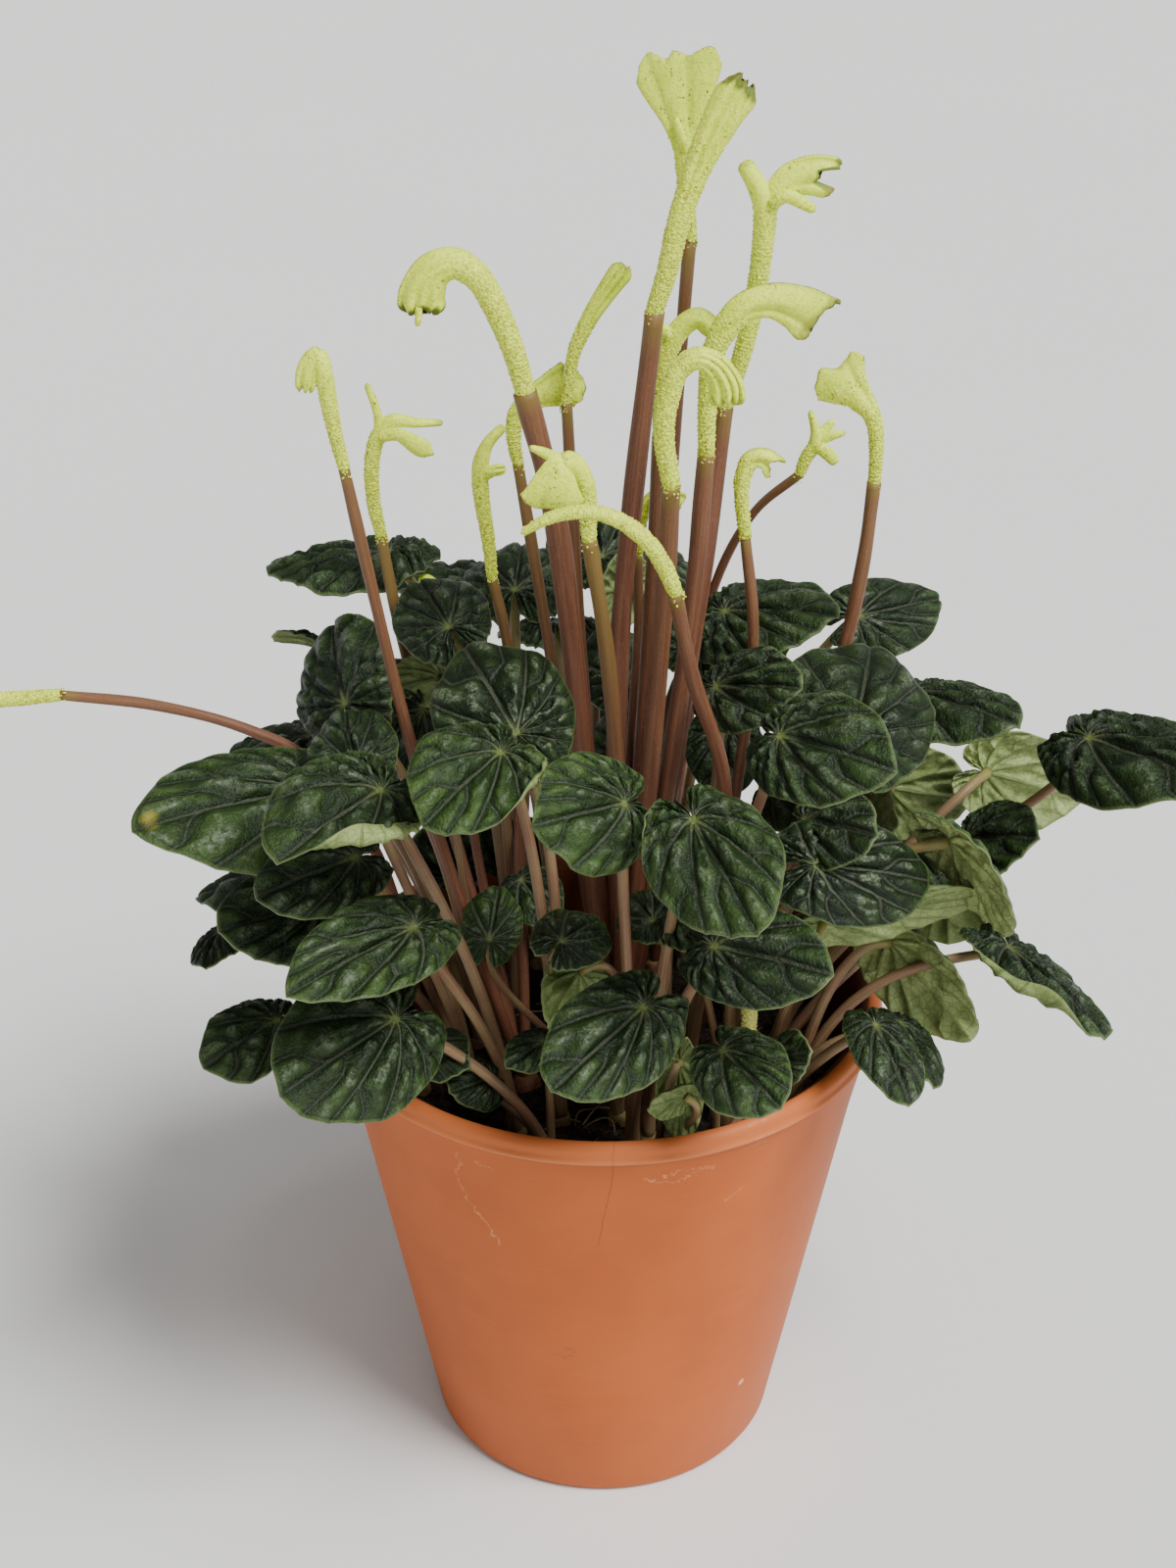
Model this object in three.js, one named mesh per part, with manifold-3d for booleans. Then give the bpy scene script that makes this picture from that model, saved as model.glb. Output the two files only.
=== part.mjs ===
// Potted peperomia: a tapered terracotta pot, a mound of dark potting soil, shoots of thick
// rippled leaves on fleshy petioles, and tall red-brown flower stalks with pale, crested heads.
// Millimetres, +Z up. The origin is the centre of the pot's underside; -Y is the front.
import * as THREE from 'three';
import * as BufferGeometryUtils from 'three/addons/utils/BufferGeometryUtils.js';
import Module from 'manifold-3d';

const wasm = await Module();
wasm.setup();

// ---- driving dimensions -------------------------------------------------------------
const potHeight = 149;
const rimRadius = 80;            // outside of the rolled lip
const lipHeight = 8;
const lipStep = 1.7;             // how far the lip stands proud of the wall
const baseRadius = 51.3;
const wallThickness = 4.5;
const floorThickness = 8;
const potSides = 32;
const drainHoleRadius = 4;
const drainCircleRadius = 24;
const drainHoleCount = 3;

const soilHeight = 125;
const soilSides = 24;
const soilFit = 0.6;             // the soil has shrunk a little from the wall
const fit = 0.35;                // gap between pieces that touch
const rootDepth = 8;             // how deep a stem stands in its hole
const holeSides = 6;

const bladeThickness = 1.1;
const bladeLift = 0.06;          // shoulder of the blade over its join, as a share of its width
const bladeDroop = 0.1;          // fall of the margin, as a share of its width
const rippleHeight = 0.8;        // crest over trough, halved
const veinBend = 0.35;           // how much the veins curve towards the tip
const wideBlade = 30;            // blades from this width on have twelve rays, others eight
const lobeAngle = 168;           // the basal lobes end this many degrees from the midrib
const petioleRadius = 1.45;
const petioleSteps = 4;
const crownRadius = 3.4;         // short crown that a shoot's petioles grow from

const stalkSides = 5;
const headSides = 6;
const headGap = 0.3;             // a stalk ends this far under its top, just short of its head
const headAcross = [0, 1, 0];     // heads bend in planes that face the front

const colours = {
  terracotta: 0xc8683c,
  soil: 0x1c1613,
  leaf: 0x1f3a20,
  stalk: 0x8a4a38,
  head: 0xc6d68a,
};

// ---- vectors and solids ---------------------------------------------------------------
const vec = (p) => new THREE.Vector3(...p);
const radians = THREE.MathUtils.degToRad;

function solidOf(geometry) {
  const bare = geometry.index ? geometry.toNonIndexed() : geometry.clone();
  bare.deleteAttribute('normal');
  bare.deleteAttribute('uv');
  const merged = BufferGeometryUtils.mergeVertices(bare, 1e-4);
  const kept = [];
  const index = merged.index.array;
  for (let i = 0; i < index.length; i += 3) {
    const [a, b, c] = [index[i], index[i + 1], index[i + 2]];
    if (a !== b && b !== c && a !== c) kept.push(a, b, c);
  }
  return new wasm.Manifold(new wasm.Mesh({
    numProp: 3,
    vertProperties: new Float32Array(merged.attributes.position.array),
    triVerts: new Uint32Array(kept),
  }));
}

function geometryOf(solid) {
  const mesh = solid.getMesh();
  const geometry = new THREE.BufferGeometry();
  geometry.setAttribute('position', new THREE.BufferAttribute(mesh.vertProperties, 3));
  geometry.setIndex(new THREE.BufferAttribute(mesh.triVerts, 1));
  geometry.computeVertexNormals();
  return geometry;
}

const joined = (solids) => solids.reduce((whole, next) => whole.add(next));

// A round or flattened rod through the given stations, each {at, wide, deep}. "across" is the
// direction of the wide side; the ends are closed.
function rod(stations, sides, across, steps) {
  const route = new THREE.CatmullRomCurve3(stations.map((s) => vec(s.at)));
  const geometry = new THREE.CylinderGeometry(1, 1, 1, sides, steps);
  const position = geometry.attributes.position;
  const point = new THREE.Vector3();
  for (let i = 0; i < position.count; i += 1) {
    point.fromBufferAttribute(position, i);
    const u = THREE.MathUtils.clamp(0.5 + point.y, 0, 1);
    const place = u * (stations.length - 1);
    const k = Math.min(Math.floor(place), stations.length - 2);
    const blend = place - k;
    const wide = THREE.MathUtils.lerp(stations[k].wide, stations[k + 1].wide, blend);
    const deep = THREE.MathUtils.lerp(stations[k].deep, stations[k + 1].deep, blend);
    const centre = route.getPoint(u);
    const along = route.getTangent(u);
    const depthWise = new THREE.Vector3().crossVectors(vec(across), along).normalize();
    const wideWise = new THREE.Vector3().crossVectors(along, depthWise).normalize();
    centre.addScaledVector(wideWise, point.x * wide).addScaledVector(depthWise, point.z * deep);
    position.setXYZ(i, centre.x, centre.y, centre.z);
  }
  return solidOf(geometry);
}

// ---- pot and soil -----------------------------------------------------------------------
const wallTopHeight = potHeight - lipHeight;
const wallTopRadius = rimRadius - lipStep - 1.5;
const wallRadiusAt = (z) => baseRadius + (wallTopRadius - baseRadius) * (z / wallTopHeight);

function pot() {
  const inner = (z) => wallRadiusAt(z) - wallThickness;
  const profile = [
    [0, 0], [baseRadius - 2.5, 0], [baseRadius - 0.4, 0.8], [wallRadiusAt(3), 3],
    [wallTopRadius, wallTopHeight], [rimRadius - 1.2, wallTopHeight + 0.8],
    [rimRadius, wallTopHeight + 3], [rimRadius - 0.3, potHeight - 1.8],
    [rimRadius - 1.8, potHeight], [rimRadius - 4, potHeight - 0.2],
    [inner(wallTopHeight) + 1.2, potHeight - 3], [inner(wallTopHeight), wallTopHeight - 4],
    [inner(floorThickness), floorThickness], [0, floorThickness],
  ].map(([r, z]) => new THREE.Vector2(r, z));
  const shell = new THREE.LatheGeometry(profile, potSides);
  shell.rotateX(Math.PI / 2);
  let solid = solidOf(shell);
  for (let i = 0; i < drainHoleCount; i += 1) {
    const turn = (i / drainHoleCount) * 2 * Math.PI + Math.PI / 6;
    const drill = new THREE.CylinderGeometry(
      drainHoleRadius, drainHoleRadius, 3 * floorThickness, 10);
    drill.rotateX(Math.PI / 2);
    drill.translate(drainCircleRadius * Math.cos(turn), drainCircleRadius * Math.sin(turn), 0);
    solid = solid.subtract(solidOf(drill));
  }
  return solid;
}

function soil(holes) {
  const inner = (z) => wallRadiusAt(z) - wallThickness - soilFit;
  const low = floorThickness + fit;
  const profile = [[0, low], [inner(low), low], [inner(soilHeight), soilHeight], [0, soilHeight]];
  const block = new THREE.LatheGeometry(profile.map(([r, z]) => new THREE.Vector2(r, z)), soilSides);
  block.rotateX(Math.PI / 2);
  let solid = solidOf(block);
  for (const { foot, radius } of holes) {
    const drill = new THREE.CylinderGeometry(radius + fit, radius + fit, 3 * rootDepth, holeSides);
    drill.rotateX(Math.PI / 2);
    drill.translate(foot[0], foot[1], soilHeight + 0.5 * rootDepth - fit);
    solid = solid.subtract(solidOf(drill));
  }
  return solid;
}

// ---- leaves -------------------------------------------------------------------------------
function outline(angle) {
  const body = 0.62 + 0.30 * Math.cos(angle) + 0.06 * Math.cos(2 * angle);
  const tip = 0.035 * Math.exp(-((angle / 0.16) ** 2));
  const notch = 1 - 0.72 * Math.exp(-(((Math.PI - Math.abs(angle)) / 0.30) ** 2));
  return (body + tip) * notch;
}
const tipReach = outline(0);
const halfWidthReach = 0.632;     // greatest sideways reach of the outline at tipReach 1.015

function leafFrame({ join, tip, face }) {
  const along = vec(tip).sub(vec(join)).normalize();
  const [azimuth, height] = face.map(radians);
  const out = new THREE.Vector3(
    Math.sin(azimuth) * Math.cos(height), -Math.cos(azimuth) * Math.cos(height), Math.sin(height));
  out.addScaledVector(along, -out.dot(along)).normalize();
  const across = new THREE.Vector3().crossVectors(out, along);
  return { along, across, out };
}

// The points of a blade: the join, then two rings of points on rays from it. Even rays lie in
// the veins' troughs, odd rays on the ridges between them.
function bladePoints(leaf, { along, across, out }) {
  const length = vec(leaf.tip).distanceTo(vec(leaf.join));
  const rays = leaf.width < wideBlade ? 8 : 12;
  const fold = Math.tan(radians(leaf.fold ?? 0));
  const points = [vec(leaf.join)];
  for (const ring of [0.5, 1]) {
    for (let ray = 0; ray <= rays; ray += 1) {
      const angle = radians(lobeAngle) * ((2 * ray) / rays - 1);
      const bent = angle + veinBend * Math.sin(angle) * (1 - ring);
      const reach = (outline(angle) / tipReach) * ring;
      const a = reach * Math.cos(bent) * length;
      const b = (reach * Math.sin(bent) * leaf.width) / (2 * (halfWidthReach / tipReach));
      const ripple = rippleHeight * (ray % 2 ? 1 : -1) * (ring === 1 ? 0.6 : 1);
      const dome = leaf.width * (4 * bladeLift * ring * (1 - ring) - bladeDroop * ring * ring);
      const h = dome + ripple + fold * Math.abs(b);
      points.push(vec(leaf.join).addScaledVector(along, a).addScaledVector(across, b)
        .addScaledVector(out, h));
    }
  }
  return { points, rays };
}

// The petiole's rings of points, from its foot up to the underside of the blade.
function petioleRings(leaf, foot, { along, across, out }) {
  const start = new THREE.Vector3(foot[0], foot[1], soilHeight - 1);
  const end = vec(leaf.join).addScaledVector(out, -bladeThickness);
  const span = start.distanceTo(end);
  const outward = new THREE.Vector3(end.x - start.x, end.y - start.y, 0);
  const lean = outward.clone().multiplyScalar(0.15);
  const arrive = out.clone().multiplyScalar(0.6).addScaledVector(along, 0.4)
    .addScaledVector(outward.normalize(), leaf.level ?? 0).normalize();
  const rise = start.clone().add(lean).add(new THREE.Vector3(0, 0, span * (leaf.rise ?? 0.42)));
  const before = end.clone().addScaledVector(arrive, -0.3 * span);
  const route = new THREE.CubicBezierCurve3(start, rise, before, end);
  const radius = leaf.thin ? 0.75 * petioleRadius : petioleRadius;
  const rings = [];
  for (let step = 0; step <= petioleSteps; step += 1) {
    const u = step / petioleSteps;
    const heading = step === petioleSteps ? out : route.getTangent(u);
    const side = across.clone().addScaledVector(heading, -across.dot(heading)).normalize();
    const back = new THREE.Vector3().crossVectors(heading, side);
    const centre = route.getPoint(u);
    for (const corner of [135, 45, -45, -135]) {
      const [x, y] = [radius * Math.sin(radians(corner)), -radius * Math.cos(radians(corner))];
      rings.push(centre.clone().addScaledVector(side, x).addScaledVector(back, y));
    }
  }
  return rings;
}

// A leaf is one closed skin. Both faces of the blade are split alike; round the join the
// underside runs into the top ring of the four-cornered petiole.
function leafSolid(leaf, foot) {
  const frame = leafFrame(leaf);
  const { points: top, rays } = bladePoints(leaf, frame);
  const under = top.map((p) => p.clone().addScaledVector(frame.out, -bladeThickness));
  const stem = petioleRings(leaf, foot, frame);
  const points = [...top, ...under, ...stem];
  const count = top.length;
  const stemAt = (step, corner) => 2 * count + 4 * step + (((corner % 4) + 4) % 4);
  const at = (ring, ray) => (ring === 0 ? 0 : 1 + (ring - 1) * (rays + 1) + ray);
  const low = (ring, ray) => count + at(ring, ray);
  const faces = [];
  const quad = (a, b, c, d) => faces.push(a, b, c, a, c, d);
  for (let ray = 0; ray < rays; ray += 1) {
    faces.push(0, at(1, ray), at(1, ray + 1));
    const [p, q, r, s] = [at(1, ray), at(2, ray), at(2, ray + 1), at(1, ray + 1)];
    const split = ray % 2 ? [p, q, r, p, r, s] : [p, q, s, q, r, s];
    faces.push(...split, ...split.map((k) => k + count).reverse());
    quad(q, count + q, count + r, r);
  }
  quad(at(1, 0), low(1, 0), low(2, 0), at(2, 0));
  quad(at(1, rays), at(2, rays), low(2, rays), low(1, rays));
  faces.push(0, low(1, 0), at(1, 0), 0, at(1, rays), low(1, rays));

  // The ring of the underside round the join, closed over the notch by the join itself.
  const loop = [{ point: 0, angle: -180 }];
  for (let ray = 0; ray <= rays; ray += 1) {
    loop.push({ point: low(1, ray), angle: lobeAngle * ((2 * ray) / rays - 1) });
  }
  loop.push({ point: 0, angle: 180 });
  const corners = [-225, -135, -45, 45, 135];
  const cornerPoint = (k) => stemAt(petioleSteps, 4 - k);
  let [o, i] = [0, 0];
  while (o < loop.length - 1 || i < corners.length - 1) {
    const outerNext = loop[o + 1]?.angle ?? Infinity;
    const innerNext = corners[i + 1] ?? Infinity;
    if (outerNext <= innerNext) {
      faces.push(loop[o].point, cornerPoint(i), loop[o + 1].point);
      o += 1;
    } else {
      faces.push(loop[o].point, cornerPoint(i), cornerPoint(i + 1));
      i += 1;
    }
  }
  for (let step = 0; step < petioleSteps; step += 1) {
    for (let corner = 0; corner < 4; corner += 1) {
      quad(stemAt(step, corner + 1), stemAt(step, corner),
        stemAt(step + 1, corner), stemAt(step + 1, corner + 1));
    }
  }
  quad(stemAt(0, 0), stemAt(0, 1), stemAt(0, 2), stemAt(0, 3));

  const geometry = new THREE.BufferGeometry();
  const flat = new Float32Array(points.flatMap((p) => p.toArray()));
  geometry.setAttribute('position', new THREE.BufferAttribute(flat, 3));
  geometry.setIndex(faces);
  return solidOf(geometry);
}

function crown(foot, radius) {
  const height = rootDepth + 3;
  const stub = new THREE.CylinderGeometry(radius * 0.8, radius, height, holeSides);
  stub.rotateX(Math.PI / 2);
  stub.translate(foot[0], foot[1], soilHeight - rootDepth + height / 2);
  return solidOf(stub);
}

function shootSolid({ foot, leaves }) {
  return joined([crown(foot, crownRadius), ...leaves.map((one) => leafSolid(one, foot))]);
}

const leaf = (join, tip, width, face, more = {}) => ({ join, tip, width, face, ...more });

// Each shoot: where it stands in the soil, then its leaves: join with the petiole, tip, width,
// and the way the upper face looks (degrees round from the front, degrees up).
const shoots = {
  shoot_front_high: { foot: [12, -42], leaves: [
    leaf([21, -88, 252], [34, -120, 243], 32, [5, 32]),
    leaf([27, -84, 214], [53, -101, 219], 27, [5, 48]),
  ] },
  shoot_front_mid: { foot: [8, -48], leaves: [
    leaf([5, -75, 249], [-15, -91, 253], 31, [0, 38]),
    leaf([10, -90, 200], [-12, -115, 194], 29, [-5, 45]),
  ] },
  shoot_front_left: { foot: [-12, -34], leaves: [
    leaf([-22, -45, 252], [-37, -20, 267], 36, [-5, 52]),
    leaf([-25, -66, 258], [-42, -89, 254], 33, [-5, 52], { fold: 12 }),
  ] },
  shoot_left_front: { foot: [-24, -40], leaves: [
    leaf([-55, -62, 245], [-77, -91, 245], 35, [-20, 45], { fold: 15 }),
    leaf([-47, -76, 214], [-74, -105, 216], 27, [-10, 50], { fold: 8 }),
  ] },
  shoot_front_low_left: { foot: [-14, -54], leaves: [
    leaf([-53, -72, 184], [-79, -99, 181], 39, [-10, 35]),
    leaf([-16, -56, 166], [-25, -65, 165], 12, [0, 50], { thin: true }),
    leaf([-30, -52, 151], [-40, -61, 154], 16, [0, 50], { thin: true }),
    leaf([-47, -50, 160], [-37, -61, 163], 16, [0, 50], { thin: true }),
  ] },
  shoot_left_mid: { foot: [-36, -26], leaves: [
    leaf([-64, -36, 238], [-70, -13, 245], 24, [-10, 50]),
    leaf([-63, -54, 221], [-86, -70, 221], 25, [-20, 45]),
  ] },
  shoot_left: { foot: [-42, -12], leaves: [
    leaf([-78, -24, 224], [-118, -52, 231], 42, [-35, 40]),
    leaf([-74, -40, 198], [-98, -57, 203], 30, [-25, 40]),
  ] },
  shoot_left_low: { foot: [-52, -20], leaves: [
    leaf([-89, -38, 160], [-107, -53, 157], 25, [-30, 42], { rise: 0.75, level: 2 }),
    leaf([-109, -2, 166], [-112, -17, 165], 17, [175, 20], { thin: true, rise: 0.6, level: 2 }),
  ] },
  shoot_left_high: { foot: [-36, 4], leaves: [
    leaf([-69, -7, 241], [-79, 24, 253], 34, [-40, 35]),
    leaf([-79, 45, 233], [-95, 57, 233], 22, [-150, 30], { fold: 10 }),
  ] },
  shoot_back_left: { foot: [-26, 24], leaves: [
    leaf([-60, 42, 264], [-96, 48, 260], 38, [180, 86]),
    leaf([-33, 58, 249], [-60, 84, 243], 38, [180, 88]),
    leaf([-41, -4, 262], [-52, 22, 267], 26, [-10, 55]),
  ] },
  shoot_inner_back: { foot: [-12, 20], leaves: [
    leaf([-25, 33, 256], [-24, 60, 262], 31, [0, 60]),
  ] },
  shoot_inner_front: { foot: [-7, -20], leaves: [
    leaf([-31, -30, 181], [-29, -12, 189], 17, [0, 35], { thin: true }),
    leaf([-23, -8, 187], [-15, -23, 184], 18, [0, 50], { thin: true }),
  ] },
  shoot_back: { foot: [3, 34], leaves: [
    leaf([6, 28, 230], [-1, 46, 240], 25, [0, 50]),
    leaf([-1, 70, 250], [-6, 94, 259], 30, [0, 60]),
    leaf([11, 60, 251], [25, 77, 249], 22, [10, 60]),
    leaf([7, 48, 250], [-5, 31, 257], 22, [170, -20]),
  ] },
  shoot_back_right: { foot: [18, 24], leaves: [
    leaf([25, 26, 242], [31, 47, 249], 25, [10, 50]),
    leaf([33, 24, 254], [61, 8, 263], 36, [5, 68]),
  ] },
  shoot_right_inner: { foot: [24, -18], leaves: [
    leaf([29, -20, 253], [48, -35, 262], 25, [-5, 50]),
    leaf([42, -72, 266], [65, -92, 270], 30, [5, 42]),
  ] },
  shoot_right_back: { foot: [38, 16], leaves: [
    leaf([71, 38, 246], [97, 53, 246], 26, [20, 55]),
    leaf([83, 0, 241], [108, -23, 246], 30, [30, 72]),
  ] },
  shoot_right_high: { foot: [36, -8], leaves: [
    leaf([63, -40, 250], [72, -5, 262], 42, [10, 45]),
    leaf([46, -13, 218], [54, -29, 218], 20, [0, 50]),
  ] },
  shoot_right_front: { foot: [34, -32], leaves: [
    leaf([51, -50, 230], [66, -65, 236], 23, [5, 45]),
    leaf([53, -62, 224], [86, -51, 215], 30, [5, 50]),
  ] },
  shoot_right: { foot: [50, 2], leaves: [
    leaf([129, -12, 234], [153, -46, 241], 35, [20, 38]),
    leaf([107, 15, 209], [135, 21, 198], 29, [170, -20]),
    leaf([97, 6, 180], [98, 0, 162], 27, [175, 0]),
  ] },
  shoot_right_mid: { foot: [46, -18], leaves: [
    leaf([91, -34, 215], [109, -55, 203], 28, [150, 27]),
    leaf([100, -8, 200], [113, -24, 212], 26, [25, 40]),
  ] },
  shoot_right_behind: { foot: [44, 26], leaves: [
    leaf([81, 22, 200], [104, 26, 194], 28, [170, -20]),
    leaf([75, 12, 197], [83, -6, 201], 22, [170, -20], { thin: true }),
  ] },
  shoot_right_low: { foot: [52, -30], leaves: [
    leaf([79, -20, 175], [102, -37, 156], 30, [150, 10]),
    leaf([110, -28, 178], [134, -55, 169], 27, [60, 42], { rise: 0.6, level: 1.5 }),
  ] },
  shoot_right_rim: { foot: [46, -40], leaves: [
    leaf([72, -52, 169], [80, -76, 163], 20, [30, 40]),
    leaf([81, -35, 158], [90, -55, 154], 21, [50, 40], { thin: true, rise: 0.65, level: 1.5 }),
  ] },
  shoot_front_low_right: { foot: [30, -54], leaves: [
    leaf([30, -84, 183], [43, -102, 180], 24, [5, 45]),
    leaf([46, -47, 154], [53, -55, 163], 16, [0, 50], { thin: true }),
  ] },
  shoot_front_low: { foot: [14, -58], leaves: [
    leaf([20, -61, 163], [21, -66, 141], 13, [175, 0], { thin: true }),
    leaf([21, -67, 157], [11, -75, 160], 12, [170, 0], { thin: true }),
  ] },
  shoot_front_inner: { foot: [4, -34], leaves: [
    leaf([-11, -56, 197], [0, -41, 197], 20, [0, 60], { thin: true }),
    leaf([-7, -50, 184], [-17, -69, 180], 20, [170, 0], { thin: true }),
  ] },
  shoot_rear_right: { foot: [42, 36], leaves: [
    leaf([78, 45, 178], [102, 59, 164], 34, [120, 50]),
    leaf([59, 57, 212], [80, 78, 202], 36, [134, 55]),
  ] },
  shoot_rear_mid_right: { foot: [25, 46], leaves: [
    leaf([46, 80, 184], [61, 106, 170], 36, [150, 50]),
    leaf([29, 71, 224], [41, 100, 214], 36, [158, 55]),
  ] },
  shoot_rear: { foot: [3, 52], leaves: [
    leaf([3, 94, 186], [4, 124, 172], 36, [178, 50]),
    leaf([-15, 83, 222], [-20, 112, 212], 34, [190, 55]),
  ] },
  shoot_rear_mid_left: { foot: [-20, 46], leaves: [
    leaf([-39, 83, 180], [-52, 110, 166], 35, [205, 50]),
    leaf([-53, 68, 216], [-71, 91, 206], 36, [218, 55]),
  ] },
  shoot_rear_left: { foot: [-44, 28], leaves: [
    leaf([-77, 54, 182], [-102, 71, 168], 34, [235, 50]),
    leaf([-83, 30, 212], [-111, 40, 204], 34, [250, 55]),
    leaf([-91, 13, 180], [-119, 17, 168], 28, [262, 50]),
  ] },
};

// ---- flower stalks and heads ------------------------------------------------------------
function stalk({ foot, via, top, radius }) {
  const start = [...foot, soilHeight - 1];
  const last = vec(via[via.length - 1]).sub(vec(top)).normalize();
  const places = [start, ...via, vec(top).addScaledVector(last, headGap).toArray()];
  const stations = places.map((at) => ({ at, wide: radius, deep: radius }));
  return rod(stations, stalkSides, headAcross, places.length + 1);
}

function stalkGroup({ foot, radius, stalks }) {
  const parts = [crown(foot, radius)];
  for (const one of Object.values(stalks)) parts.push(stalk({ foot, ...one }));
  return joined(parts);
}

// Where each stalk goes between its foot and the head that it ends in.
const stalkGroups = {
  stalks_centre: { foot: [4, -1], radius: 7.5, stalks: {
    tall_front: { via: [[3, -4, 190], [4, -6, 260], [7, -8, 300]], top: [12, -10, 350.5], radius: 2.6 },
    tall_back: { via: [[8, 2, 170], [13, 6, 230], [17, 8, 300]], top: [21, 12, 362.5], radius: 1.8 },
    pronged: { via: [[10, -3, 160], [18, -4, 215], [25, -5, 275]], top: [30, -5, 324.5], radius: 2.5 },
    arched: { via: [[9, -6, 160], [17, -12, 220], [23, -17, 283]], top: [25, -20, 317.5], radius: 2.3 },
    forked: { via: [[8, 0, 190], [12, 2, 260]], top: [14, 2, 314.5], radius: 2 },
    ribbed: { via: [[7, -8, 165], [12, -17, 225], [15, -29, 284]], top: [16, -36, 315.5], radius: 2.5 },
    hooked: { via: [[-3, -6, 190], [-9, -10, 265], [-14, -12, 305]], top: [-20, -12, 330.5], radius: 3 },
    blunt: { via: [[0, 1, 170], [-5, 5, 230], [-8, 7, 280]], top: [-10, 8, 320.5], radius: 1.6 },
    behind: { via: [[-5, 5, 175], [-13, 10, 235], [-19, 13, 275]], top: [-23, 14, 301.5], radius: 1.6 },
    hooded: { via: [[5, -12, 175], [3, -22, 235], [0, -30, 272]], top: [-4, -34, 300.5], radius: 2 },
    short_back: { via: [[7, 8, 215], [9, 14, 250]], top: [9, 18, 273.5], radius: 1.3 },
  } },
  stalks_right: { foot: [24, 0], radius: 5, stalks: {
    low_arch: { via: [[31, -12, 175], [31, -30, 232], [22, -40, 266]], top: [17, -48, 292.5], radius: 1.9 },
    small_hook: { via: [[29, -3, 165], [36, -6, 215], [39, -8, 262]], top: [36, -8, 290.5], radius: 1.5 },
    fan_right: { via: [[44, 1, 192], [63, 2, 249], [68, 4, 277]], top: [70, 6, 299.5], radius: 1.9 },
  } },
  stalk_back: { foot: [15, 43], radius: 3, stalks: {
    back_right: { via: [[24, 50, 200], [31, 55, 246], [42, 50, 273]], top: [53.8, 45, 286.3], radius: 1.3 },
  } },
  stalks_left: { foot: [-22, -17], radius: 5, stalks: {
    flap_left: { via: [[-36, -16, 172], [-50, -17, 228], [-61, -19, 289]], top: [-65, -20, 313.5],
      radius: 1.6 },
    spatula: { via: [[-34, -3, 165], [-48, 14, 213], [-57, 22, 252]], top: [-61, 25, 276.5], radius: 1.6 },
    twin_lobes: { via: [[-24, 6, 190], [-26, 6, 250]], top: [-30, 6, 272.5], radius: 1.5 },
    bud: { via: [[-36, 14, 180], [-43, 27, 225]], top: [-46, 34, 243.5], radius: 1.3 },
  } },
  stalk_trailing: { foot: [-52, 6], radius: 3, stalks: {
    trailing: { via: [[-63, 4, 185], [-80, 2, 218], [-98, 0, 230], [-122, 0, 237]],
      top: [-147.5, 0, 240], radius: 1.5 },
  } },
  stalk_low: { foot: [38, -45], radius: 3.2, stalks: {
    low: { via: [[39, -45, 140]], top: [39, -45, 153.5], radius: 1.6 },
  } },
};

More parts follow.
